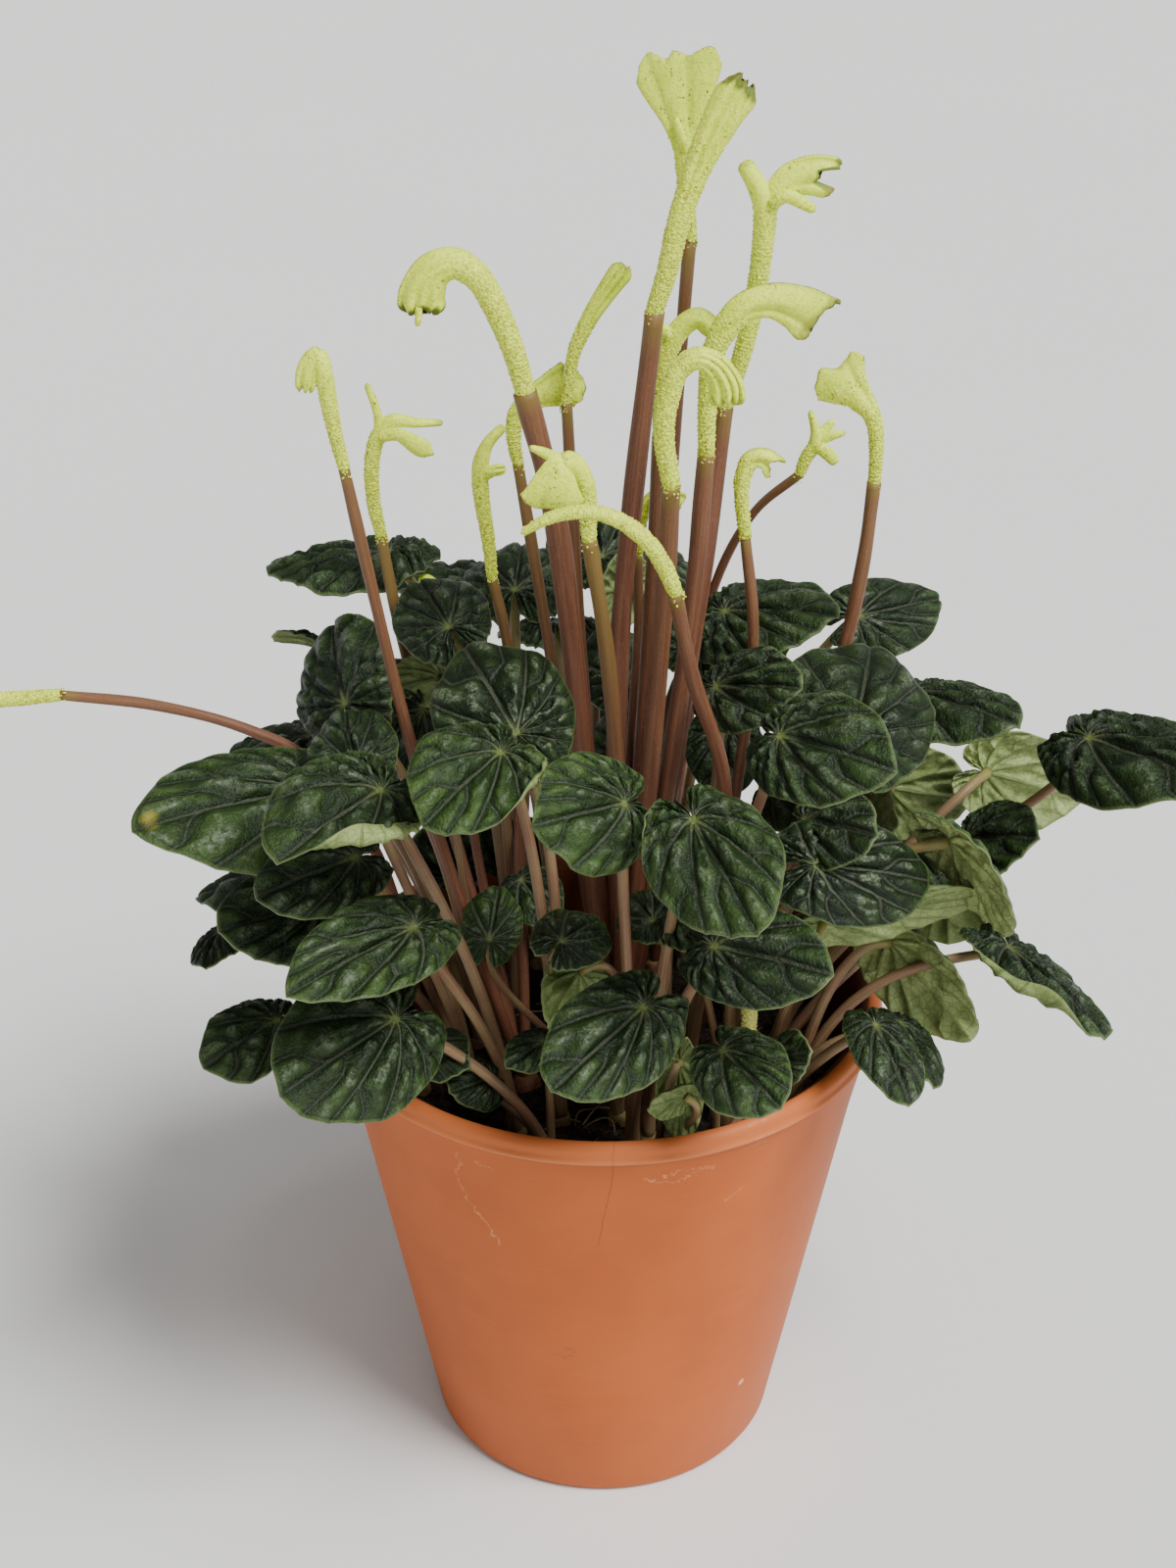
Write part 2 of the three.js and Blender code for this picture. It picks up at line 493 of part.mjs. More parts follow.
// Each head is one or more tapering arms. A station is x, y, z, half its depth in the plane it
// bends in, and half its thickness front to back.
const heads = {
  head_tall_front: [[[12, -10, 351, 2.7, 2.7], [15, -10, 361, 2.9, 2.8], [17, -10, 371, 3, 2.8],
    [20, -10, 381, 3.3, 2.6], [23, -10, 389, 4, 2.4], [31, -10, 406, 6, 2.4]]],
  head_tall_back: [[[21, 12, 363, 2, 2], [20, 12, 373, 2.2, 2], [20, 12, 384, 3, 1.8],
    [19, 12, 395, 7, 1.6], [17, 12, 408, 11, 1.4]]],
  head_pronged: [
    [[30, -5, 325, 2.6, 2.6], [34, -5, 338, 2.5, 2.5], [38, -5, 366, 2.7, 2.5], [39, -5, 379, 4, 2.4]],
    [[39, -5, 377, 3, 2.2], [36, -5, 383, 3, 2.2], [33, -5, 387, 2.5, 2]],
    [[39, -5, 377, 3, 2.2], [43, -5, 383, 4, 2], [49, -5, 384, 5, 1.8], [53, -5, 382, 5, 1.8]]],
  head_arched: [[[25, -20, 318, 2.4, 2.4], [25, -20, 332, 2.4, 2.4], [26, -20, 343, 2.6, 2.6],
    [29, -20, 350, 3, 2.6], [33, -20, 356, 3.4, 2.4], [40, -20, 358, 4, 2.2],
    [47, -20, 356, 5.5, 2], [52, -20, 351, 7, 1.8]]],
  head_forked: [
    [[14, 2, 315, 2.2, 2.2], [14, 2, 327, 2.2, 2.2], [16, 2, 337, 2.8, 2], [18, 2, 343, 3.2, 2]],
    [[18, 2, 341, 2.4, 1.8], [12, 2, 345, 2, 1.6]],
    [[17, 2, 340, 3, 1.8], [22, 2, 346, 3.2, 1.8], [26, 2, 345, 3.4, 1.8], [28, 2, 341, 3, 1.8]]],
  head_ribbed: [[[16, -36, 316, 2.7, 2.7], [14, -36, 329, 2.8, 2.8], [15, -36, 339, 3, 3],
    [17, -36, 346, 3.4, 3.2], [21, -36, 350, 3.6, 3.4], [25, -36, 349, 4, 3.6],
    [28, -36, 345, 4.4, 3.6], [29, -36, 340, 4.6, 3.4]]],
  head_fan_right: [[[70, 6, 300, 2, 2], [70, 6, 310, 2, 2], [69, 6, 318, 2.4, 2],
    [65, 6, 324, 3.5, 1.8], [61, 6, 329, 6, 1.6], [58, 6, 333, 8.6, 1.4]]],
  head_back_right: [
    [[54, 45, 287, 1.4, 1.4], [56, 45, 292, 1.8, 1.6], [59, 45, 296, 2.2, 1.6]],
    [[59, 45, 294, 1.6, 1.4], [56, 45, 305, 1.3, 1.2]],
    [[58, 45, 294, 2, 1.4], [66, 45, 298, 1.6, 1.2]],
    [[58, 45, 296, 1.5, 1.3], [62, 45, 290, 1.2, 1.1]]],
  head_small_hook: [[[36, -8, 291, 1.6, 1.6], [35, -8, 303, 1.6, 1.6], [36, -8, 309, 2.5, 1.8],
    [39, -8, 312, 3.2, 1.8], [42, -8, 308, 3.6, 1.6]]],
  head_low_arch: [[[17, -48, 293, 1.9, 1.9], [14, -48, 300, 1.9, 1.9], [10, -48, 306, 1.9, 1.9],
    [5, -48, 311, 1.9, 1.9], [-5, -48, 314, 2, 1.9], [-13, -48, 312, 1.8, 1.7],
    [-20, -48, 308, 1.2, 1.2]]],
  head_hooded: [
    [[-4, -34, 301, 2, 2], [-5, -34, 308, 2.6, 2.4], [-6, -34, 316, 3.4, 2.6],
      [-10, -34, 320, 4.4, 2.6], [-13, -34, 317, 6, 2.6], [-14, -34, 311, 7.6, 2.4]],
    [[-9, -34, 320, 3, 2], [-14, -34, 323, 2.4, 1.8], [-18, -34, 324, 1.4, 1.2]]],
  head_hooked: [[[-20, -12, 331, 3.3, 3.2], [-23, -12, 343, 3.4, 3.3], [-28, -12, 356, 3.6, 3.4],
    [-33, -12, 362, 4, 3.4], [-39, -12, 364, 4.6, 3.4], [-43, -12, 361, 5.2, 3.2],
    [-45, -12, 355, 5.8, 3], [-45, -12, 350, 6.2, 3]]],
  head_blunt: [[[-10, 8, 321, 1.7, 1.7], [-8, 8, 334, 1.8, 1.8], [-4, 8, 343, 2.4, 2],
    [1, 8, 351, 3, 2], [5, 8, 356, 3.2, 2]]],
  head_behind: [[[-23, 14, 302, 1.7, 1.7], [-24, 14, 309, 1.8, 1.7], [-22, 14, 316, 2.5, 1.8],
    [-17, 14, 320, 3.5, 1.8], [-9, 14, 322, 5.4, 1.6]]],
  head_twin_lobes: [
    [[-30, 6, 273, 1.6, 1.6], [-31, 6, 285, 1.7, 1.7], [-32, 6, 297, 2, 1.8], [-30, 6, 305, 2.4, 1.8]],
    [[-31, 6, 303, 2, 1.6], [-26, 6, 310, 2, 1.6], [-22, 6, 314, 1.6, 1.3]],
    [[-32, 6, 300, 1.6, 1.5], [-26, 6, 302, 1.6, 1.5], [-23, 6, 303, 1.3, 1.2]]],
  head_spatula: [
    [[-61, 25, 277, 1.6, 1.6], [-63, 25, 287, 1.6, 1.6], [-62, 25, 298, 1.9, 1.7],
      [-60, 25, 304, 2.4, 1.8]],
    [[-60, 25, 302, 1.6, 1.5], [-63, 25, 315, 1.2, 1.1]],
    [[-61, 25, 302, 2, 1.6], [-52, 25, 305, 1.6, 1.5], [-44, 25, 305, 1.3, 1.2]],
    [[-61, 25, 301, 2, 1.6], [-53, 25, 299, 2.8, 1.5], [-47, 25, 295, 2.4, 1.4]]],
  head_flap_left: [
    [[-65, -20, 314, 1.6, 1.6], [-67, -20, 321, 1.7, 1.7], [-68, -20, 332, 2, 1.8],
      [-70, -20, 341, 2.6, 1.8], [-71, -20, 347, 2.4, 1.6]],
    [[-70, -20, 344, 2, 1.6], [-73, -20, 341, 2.6, 1.6], [-74, -20, 335, 2.4, 1.4]]],
  head_bud: [[[-47, 34, 244, 1.5, 1.5], [-48, 34, 247, 1.5, 1.5], [-51, 34, 248, 1.6, 1.5],
    [-54, 34, 246, 1.5, 1.3]]],
  head_short_back: [[[9, 18, 274, 1.4, 1.4], [10, 18, 280, 1.6, 1.6], [13, 18, 285, 2.2, 1.8],
    [17, 18, 286, 2.6, 1.8], [20, 18, 282, 2.4, 1.6]]],
  head_trailing: [[[-148, 0, 240, 1.9, 1.9], [-158, 0, 239, 2, 2], [-169, 0, 238, 2.1, 2],
    [-182, 0, 236, 2.8, 2], [-190, 0, 234, 4.5, 1.8]]],
  head_low: [[[39, -45, 154, 2.1, 2.1], [39, -45, 166, 2.1, 2.1], [39, -45, 178, 2.3, 2.2],
    [40, -45, 184, 2.6, 2.2]]],
};

function headSolid(arms) {
  return joined(arms.map((arm) => rod(
    arm.map(([x, y, z, deep, wide]) => ({ at: [x, y, z], deep, wide })),
    headSides, headAcross, arm.length)));
}

// ---- assembly -------------------------------------------------------------------------------
const group = new THREE.Group();

function add(name, solid, colour, roughness) {
  const material = new THREE.MeshStandardMaterial({ color: colour, roughness, metalness: 0 });
  const mesh = new THREE.Mesh(geometryOf(solid), material);
  mesh.name = name;
  group.add(mesh);
}

const holes = Object.values(shoots).map(({ foot }) => ({ foot, radius: crownRadius }));
for (const one of Object.values(stalkGroups)) holes.push({ foot: one.foot, radius: one.radius });
add('pot', pot(), colours.terracotta, 0.7);
add('soil', soil(holes), colours.soil, 0.95);
for (const [name, shoot] of Object.entries(shoots)) {
  add(name, shootSolid(shoot), colours.leaf, 0.35);
}
for (const [name, one] of Object.entries(stalkGroups)) {
  add(name, stalkGroup(one), colours.stalk, 0.5);
}
for (const [name, head] of Object.entries(heads)) {
  add(name, headSolid(head), colours.head, 0.6);
}

export default group;
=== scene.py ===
"""A potted peperomia: corrugated dark leaves and crested flower spikes in a terracotta pot.

Sizes and places below are in millimetres, with the centre of the pot's underside at the
origin, +Z up and -Y towards the viewer. Meshes are made in metres.
"""

import math
import random

import bmesh
import bpy
from mathutils import Matrix, Vector, noise


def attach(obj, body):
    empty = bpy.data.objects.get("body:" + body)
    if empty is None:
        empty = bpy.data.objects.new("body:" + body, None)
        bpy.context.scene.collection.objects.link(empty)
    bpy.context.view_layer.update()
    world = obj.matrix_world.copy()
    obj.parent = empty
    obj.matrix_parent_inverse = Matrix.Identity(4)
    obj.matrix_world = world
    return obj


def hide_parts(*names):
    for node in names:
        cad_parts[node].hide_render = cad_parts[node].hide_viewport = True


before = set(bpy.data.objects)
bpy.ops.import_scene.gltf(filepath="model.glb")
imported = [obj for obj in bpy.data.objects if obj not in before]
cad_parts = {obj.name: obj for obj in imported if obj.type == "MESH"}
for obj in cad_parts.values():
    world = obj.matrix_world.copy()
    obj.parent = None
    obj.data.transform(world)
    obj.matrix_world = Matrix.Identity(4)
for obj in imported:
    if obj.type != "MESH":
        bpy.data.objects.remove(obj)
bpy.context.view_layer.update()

MM = 0.001
TAU = 2 * math.pi

# ---- sizes, as in the frame -----------------------------------------------------------
POT_HEIGHT = 149
RIM_RADIUS = 80
LIP_HEIGHT = 8
LIP_STEP = 1.7
BASE_RADIUS = 51.3
WALL = 4.5
FLOOR = 8
DRAIN_RADIUS = 4
DRAIN_CIRCLE = 24
DRAIN_HOLES = 3
WALL_TOP = POT_HEIGHT - LIP_HEIGHT
WALL_TOP_RADIUS = RIM_RADIUS - LIP_STEP - 1.5
LIP_LOW = WALL_TOP + 1.8  # height of the groove under the lip

SOIL_HEIGHT = 125
SOIL_FIT = 0.6
ROOT_DEPTH = 8

BLADE = 1.1               # thickness of a blade
BLADE_LIFT = 0.06         # shoulder of a blade over its join, as a share of its width
BLADE_DROOP = 0.1         # fall of its margin, as a share of its width
RIPPLE = 0.8              # crest over valley, halved
RIPPLE_ROOM = 6.5         # distance from the join at which the ripple has its full height
FULL_WIDTH = 28           # width of a blade with a ripple of just that height
MIDRIB_DEPTH = 0.5
VEIN_BEND = 0.35          # how much the veins curve towards the tip
LOBE_ANGLE = math.radians(168)
CURL = 3                  # length of blade that a folded margin bends over
PETIOLE = 1.45            # radius of a petiole
CROWN = 3.4               # radius of the stub that a shoot's petioles grow from


def wall_radius(z):
    """Outer radius of the pot's wall at a height."""
    return BASE_RADIUS + (WALL_TOP_RADIUS - BASE_RADIUS) * z / WALL_TOP


def leaf(join, tip, width, face, **more):
    """A leaf: join of petiole and blade, tip, width, and the way that the upper face looks, as
    degrees round from the front and up. More may hold: thin, a slender petiole; rise and level,
    how the petiole climbs and arrives; fold, degrees that both halves tilt up; tone, how light
    its green; silver, how strong the painted sheen on its crests is; and curl, a margin folded
    up at an angle off the midrib, by a turn in radians, from a share of the way out."""
    return {"join": Vector(join), "tip": Vector(tip), "width": width, "face": face, **more}


# Each shoot, by the end of its node's name: where it stands in the soil, and its leaves.
SHOOTS = {
    "front_high": ((12, -42), [
        leaf((21, -88, 252), (34, -120, 243), 32, (5, 32), tone=0.45, curl=(-125, 1.2, 0.62)),
        leaf((27, -84, 214), (53, -101, 219), 27, (5, 48)),
    ]),
    "front_mid": ((8, -48), [
        leaf((5, -75, 249), (-15, -91, 253), 31, (0, 38), tone=0.65, curl=(-110, 0.7, 0.62)),
        leaf((10, -90, 200), (-12, -115, 194), 29, (-5, 45), tone=0.3),
    ]),
    "front_left": ((-12, -34), [
        leaf((-22, -45, 252), (-37, -20, 267), 36, (-5, 52), tone=0.15, silver=1),
        leaf((-25, -66, 258), (-42, -89, 254), 33, (-5, 52), fold=8, tone=0.6,
             curl=(85, 1.5, 0.62)),
    ]),
    "left_front": ((-24, -40), [
        leaf((-55, -62, 245), (-77, -91, 245), 39, (-20, 45), fold=10, tone=0.35,
             curl=(60, 2.6, 0.73)),
        leaf((-47, -76, 214), (-74, -105, 216), 27, (-10, 50), fold=8, tone=0.4),
    ]),
    "front_low_left": ((-14, -54), [
        leaf((-53, -72, 184), (-79, -99, 181), 39, (-10, 35), tone=0.25),
        leaf((-16, -56, 166), (-25, -65, 165), 12, (0, 50), thin=True, tone=0.5),
        leaf((-30, -52, 151), (-40, -61, 154), 16, (0, 50), thin=True),
        leaf((-47, -50, 160), (-37, -61, 163), 16, (0, 50), thin=True),
    ]),
    "left_mid": ((-36, -26), [
        leaf((-64, -36, 238), (-70, -13, 245), 24, (-10, 50)),
        leaf((-63, -54, 221), (-86, -70, 221), 25, (-20, 45)),
    ]),
    "left": ((-42, -12), [
        leaf((-78, -24, 224), (-118, -52, 231), 42, (-35, 40), tone=0.4),
        leaf((-74, -40, 198), (-98, -57, 203), 30, (-25, 40)),
    ]),
    "left_low": ((-52, -20), [
        leaf((-89, -38, 160), (-107, -53, 157), 26, (-30, 42), rise=0.75, level=2, tone=0.4,
             curl=(100, 2.4, 0.62)),
        leaf((-109, -2, 166), (-112, -17, 165), 17, (175, 20), thin=True, rise=0.6, level=2),
    ]),
    "left_high": ((-36, 4), [
        leaf((-69, -7, 241), (-79, 24, 253), 34, (-40, 35)),
        leaf((-79, 45, 233), (-95, 57, 233), 22, (-150, 30), fold=10),
        leaf((-44, 6, 243), (-57, 15, 236), 17, (170, 0), thin=True),
    ]),
    "back_left": ((-26, 24), [
        leaf((-60, 42, 264), (-96, 48, 260), 38, (180, 86)),
        leaf((-33, 58, 249), (-60, 84, 243), 38, (180, 88)),
        leaf((-41, -4, 262), (-52, 22, 267), 26, (-10, 55)),
    ]),
    "inner_back": ((-12, 20), [
        leaf((-25, 33, 256), (-24, 60, 262), 31, (0, 60)),
        leaf((9, 8, 213), (1, 29, 222), 22, (0, 50), thin=True),
        leaf((-50, 10, 231), (-57, 2, 208), 25, (-10, 35), thin=True),
        leaf((-45, 42, 159), (-47, 32, 181), 27, (0, 30), thin=True),
        leaf((-28, 44, 160), (-29, 34, 182), 24, (0, 30), thin=True),
        leaf((34, 14, 224), (33, 2, 207), 22, (10, 35), thin=True),
    ]),
    "inner_front": ((-7, -20), [
        leaf((-31, -30, 181), (-29, -12, 189), 17, (0, 35), thin=True, tone=0.5),
        leaf((-23, -8, 187), (-15, -23, 184), 18, (0, 50), thin=True),
    ]),
    "back": ((3, 34), [
        leaf((6, 28, 230), (-1, 46, 240), 25, (0, 50)),
        leaf((-1, 70, 250), (-6, 94, 259), 30, (0, 60)),
        leaf((11, 60, 251), (25, 77, 249), 22, (10, 60)),
        leaf((7, 48, 250), (-5, 31, 257), 22, (170, -20)),
    ]),
    "back_right": ((18, 24), [
        leaf((25, 26, 242), (31, 47, 249), 25, (10, 50)),
        leaf((33, 24, 254), (61, 8, 263), 36, (5, 68), tone=0.3),
        leaf((39, 40, 239), (53, 24, 246), 20, (170, -20), thin=True),
    ]),
    "right_inner": ((24, -18), [
        leaf((29, -20, 253), (48, -35, 262), 25, (-5, 50)),
        leaf((42, -72, 266), (65, -92, 270), 30, (5, 42), tone=0.3),
    ]),
    "right_back": ((38, 16), [
        leaf((71, 38, 246), (97, 53, 246), 26, (20, 55)),
        leaf((83, 0, 241), (108, -23, 246), 30, (30, 72)),
    ]),
    "right_high": ((36, -8), [
        leaf((63, -40, 250), (72, -5, 262), 42, (10, 45), tone=0.1),
        leaf((46, -13, 218), (54, -29, 218), 20, (0, 50)),
    ]),
    "right_front": ((34, -32), [
        leaf((51, -50, 230), (66, -65, 236), 23, (5, 45), tone=0.1),
        leaf((53, -62, 224), (86, -51, 215), 30, (5, 50), tone=0.0, silver=1),
        leaf((22, -48, 203), (40, -66, 210), 28, (0, 60), fold=10, thin=True),
    ]),
    "right": ((50, 2), [
        leaf((129, -12, 234), (153, -46, 241), 35, (20, 38)),
        leaf((107, 15, 209), (135, 21, 198), 29, (170, -20), tone=0.5),
        leaf((97, 6, 180), (98, 0, 162), 27, (175, 0)),
        leaf((86, 0, 192), (93, -18, 192), 20, (20, 40), thin=True),
    ]),
    "right_mid": ((46, -18), [
        leaf((91, -34, 215), (109, -55, 203), 28, (150, 27), tone=1),
        leaf((100, -8, 200), (113, -24, 212), 26, (25, 40)),
        leaf((57, -46, 198), (100, -34, 201), 22, (165, 25), thin=True, tone=0.4),
    ]),
    "right_behind": ((44, 26), [
        leaf((81, 22, 200), (104, 26, 194), 28, (170, -20)),
        leaf((75, 12, 197), (83, -6, 201), 22, (170, -20), thin=True),
    ]),
    "right_low": ((52, -30), [
        leaf((79, -20, 175), (102, -37, 156), 30, (150, 10), tone=0.8),
        leaf((110, -28, 178), (134, -55, 169), 29, (60, 42), rise=0.6, level=1.5,
             curl=(-70, 2.3, 0.74)),
    ]),
    "right_rim": ((46, -40), [
        leaf((72, -52, 169), (80, -76, 163), 20, (30, 40)),
        leaf((81, -35, 158), (90, -55, 154), 21, (50, 40), thin=True, rise=0.65, level=1.5),
    ]),
    "front_low_right": ((30, -54), [
        leaf((30, -84, 183), (43, -102, 180), 24, (5, 45), tone=0.5),
        leaf((46, -47, 154), (53, -55, 163), 16, (0, 50), thin=True),
    ]),
    "front_low": ((14, -58), [
        leaf((20, -61, 163), (21, -66, 141), 13, (175, 0), thin=True),
        leaf((21, -67, 157), (11, -75, 160), 12, (170, 0), thin=True),
    ]),
    "front_inner": ((4, -34), [
        leaf((-11, -56, 197), (0, -41, 197), 20, (0, 60), thin=True),
        leaf((-7, -50, 184), (-17, -69, 180), 20, (170, 0), thin=True),
        leaf((13, -44, 196), (6, -28, 196), 17, (0, 45), thin=True),
    ]),
    "rear_right": ((42, 36), [
        leaf((78, 45, 178), (102, 59, 164), 34, (120, 50)),
        leaf((59, 57, 212), (80, 78, 202), 36, (134, 55)),
    ]),
    "rear_mid_right": ((25, 46), [
        leaf((46, 80, 184), (61, 106, 170), 36, (150, 50)),
        leaf((29, 71, 224), (41, 100, 214), 36, (158, 55)),
    ]),
    "rear": ((3, 52), [
        leaf((3, 94, 186), (4, 124, 172), 36, (178, 50)),
        leaf((-15, 83, 222), (-20, 112, 212), 34, (190, 55)),
    ]),
    "rear_mid_left": ((-20, 46), [
        leaf((-39, 83, 180), (-52, 110, 166), 35, (205, 50)),
        leaf((-53, 68, 216), (-71, 91, 206), 36, (218, 55)),
    ]),
    "rear_left": ((-44, 28), [
        leaf((-77, 54, 182), (-102, 71, 168), 34, (235, 50)),
        leaf((-83, 30, 212), (-111, 40, 204), 34, (250, 55)),
        leaf((-91, 13, 180), (-119, 17, 168), 28, (262, 50)),
    ]),
}

# Each group of stalks: where it stands, the radius of its crown, and for each stalk the places
# it goes through, its top, its radius, and how olive it turns under the head.
STALKS = {
    "stalks_centre": ((4, -1), 7.5, {
        "tall_front": ([(3, -4, 190), (4, -6, 260), (7, -8, 300)], (12, -10, 350.5), 2.6, 0.0),
        "tall_back": ([(8, 2, 170), (13, 6, 230), (17, 8, 300)], (21, 12, 362.5), 1.8, 0.1),
        "pronged": ([(10, -3, 160), (18, -4, 215), (25, -5, 275)], (30, -5, 324.5), 2.5, 0.0),
        "arched": ([(9, -6, 160), (17, -12, 220), (23, -17, 283)], (25, -20, 317.5), 2.3, 0.1),
        "forked": ([(8, 0, 190), (12, 2, 260)], (14, 2, 314.5), 2, 0.2),
        "ribbed": ([(7, -8, 165), (12, -17, 225), (15, -29, 284)], (16, -36, 315.5), 2.5, 0.2),
        "hooked": ([(-3, -6, 190), (-9, -10, 265), (-14, -12, 305)], (-20, -12, 330.5), 3, 0.1),
        "blunt": ([(0, 1, 170), (-5, 5, 230), (-8, 7, 280)], (-10, 8, 320.5), 1.6, 0.3),
        "behind": ([(-5, 5, 175), (-13, 10, 235), (-19, 13, 275)], (-23, 14, 301.5), 1.6, 0.6),
        "hooded": ([(5, -12, 175), (3, -22, 235), (0, -30, 272)], (-4, -34, 300.5), 2, 0.9),
        "short_back": ([(7, 8, 215), (9, 14, 250)], (9, 18, 273.5), 1.3, 0.3),
    }),
    "stalks_right": ((24, 0), 5, {
        "low_arch": ([(31, -12, 175), (31, -30, 232), (22, -40, 266)], (17, -48, 292.5), 1.9, 0.1),
        "small_hook": ([(29, -3, 165), (36, -6, 215), (39, -8, 262)], (36, -8, 290.5), 1.5, 0.2),
        "fan_right": ([(44, 1, 192), (63, 2, 249), (68, 4, 277)], (70, 6, 299.5), 1.9, 0.3),
    }),
    "stalk_back": ((15, 43), 3, {
        "back_right": ([(24, 50, 200), (31, 55, 246), (42, 50, 273)], (53.8, 45, 286.3), 1.3, 0.3),
    }),
    "stalks_left": ((-22, -17), 5, {
        "flap_left": ([(-36, -16, 172), (-50, -17, 228), (-61, -19, 289)],
                      (-65, -20, 313.5), 1.6, 0.3),
        "spatula": ([(-34, -3, 165), (-48, 14, 213), (-57, 22, 252)], (-61, 25, 276.5), 1.6, 0.9),
        "twin_lobes": ([(-24, 6, 190), (-26, 6, 250)], (-30, 6, 272.5), 1.5, 0.6),
        "bud": ([(-36, 14, 180), (-43, 27, 225)], (-47, 34, 249.5), 1.3, 0.4),
    }),
    "stalk_trailing": ((-52, 6), 3, {
        "trailing": ([(-63, 4, 185), (-80, 2, 218), (-98, 0, 230), (-122, 0, 237)],
                     (-147.5, 0, 240), 1.5, 0.2),
    }),
    "stalk_low": ((38, -45), 3.2, {
        "low": ([(39, -45, 140)], (39, -45, 153.5), 1.6, 0.3),
    }),
}


ARM = {"ribs": 0, "groove": 0, "fingers": 0, "ragged": 0, "edge": [(-1, 0), (1, 0)],
       "green": 0, "florets": 0.55, "stain": 0, "opens": 0.3}


def arm(depth, *stations, **more):
    """One arm of a head. depth is its y, or one y for each station; a station is x, z and the
    radius, or x, z, half the breadth and half the thickness. More may change what ARM says: ribs
    run along it from opens on, with a groove at groove (in turns) off its middle; fingers is how
    far they stick out at the end, which ragged and edge (pairs of place across and mm) shape;
    green is how dark that end is, florets how far up they reach, stain how brown its border is."""
    depths = depth if isinstance(depth, tuple) else (depth,) * len(stations)
    return {**ARM, **more, "stations": [(x, y, z, size[0], size[-1])
                                        for y, (x, z, *size) in zip(depths, stations)]}


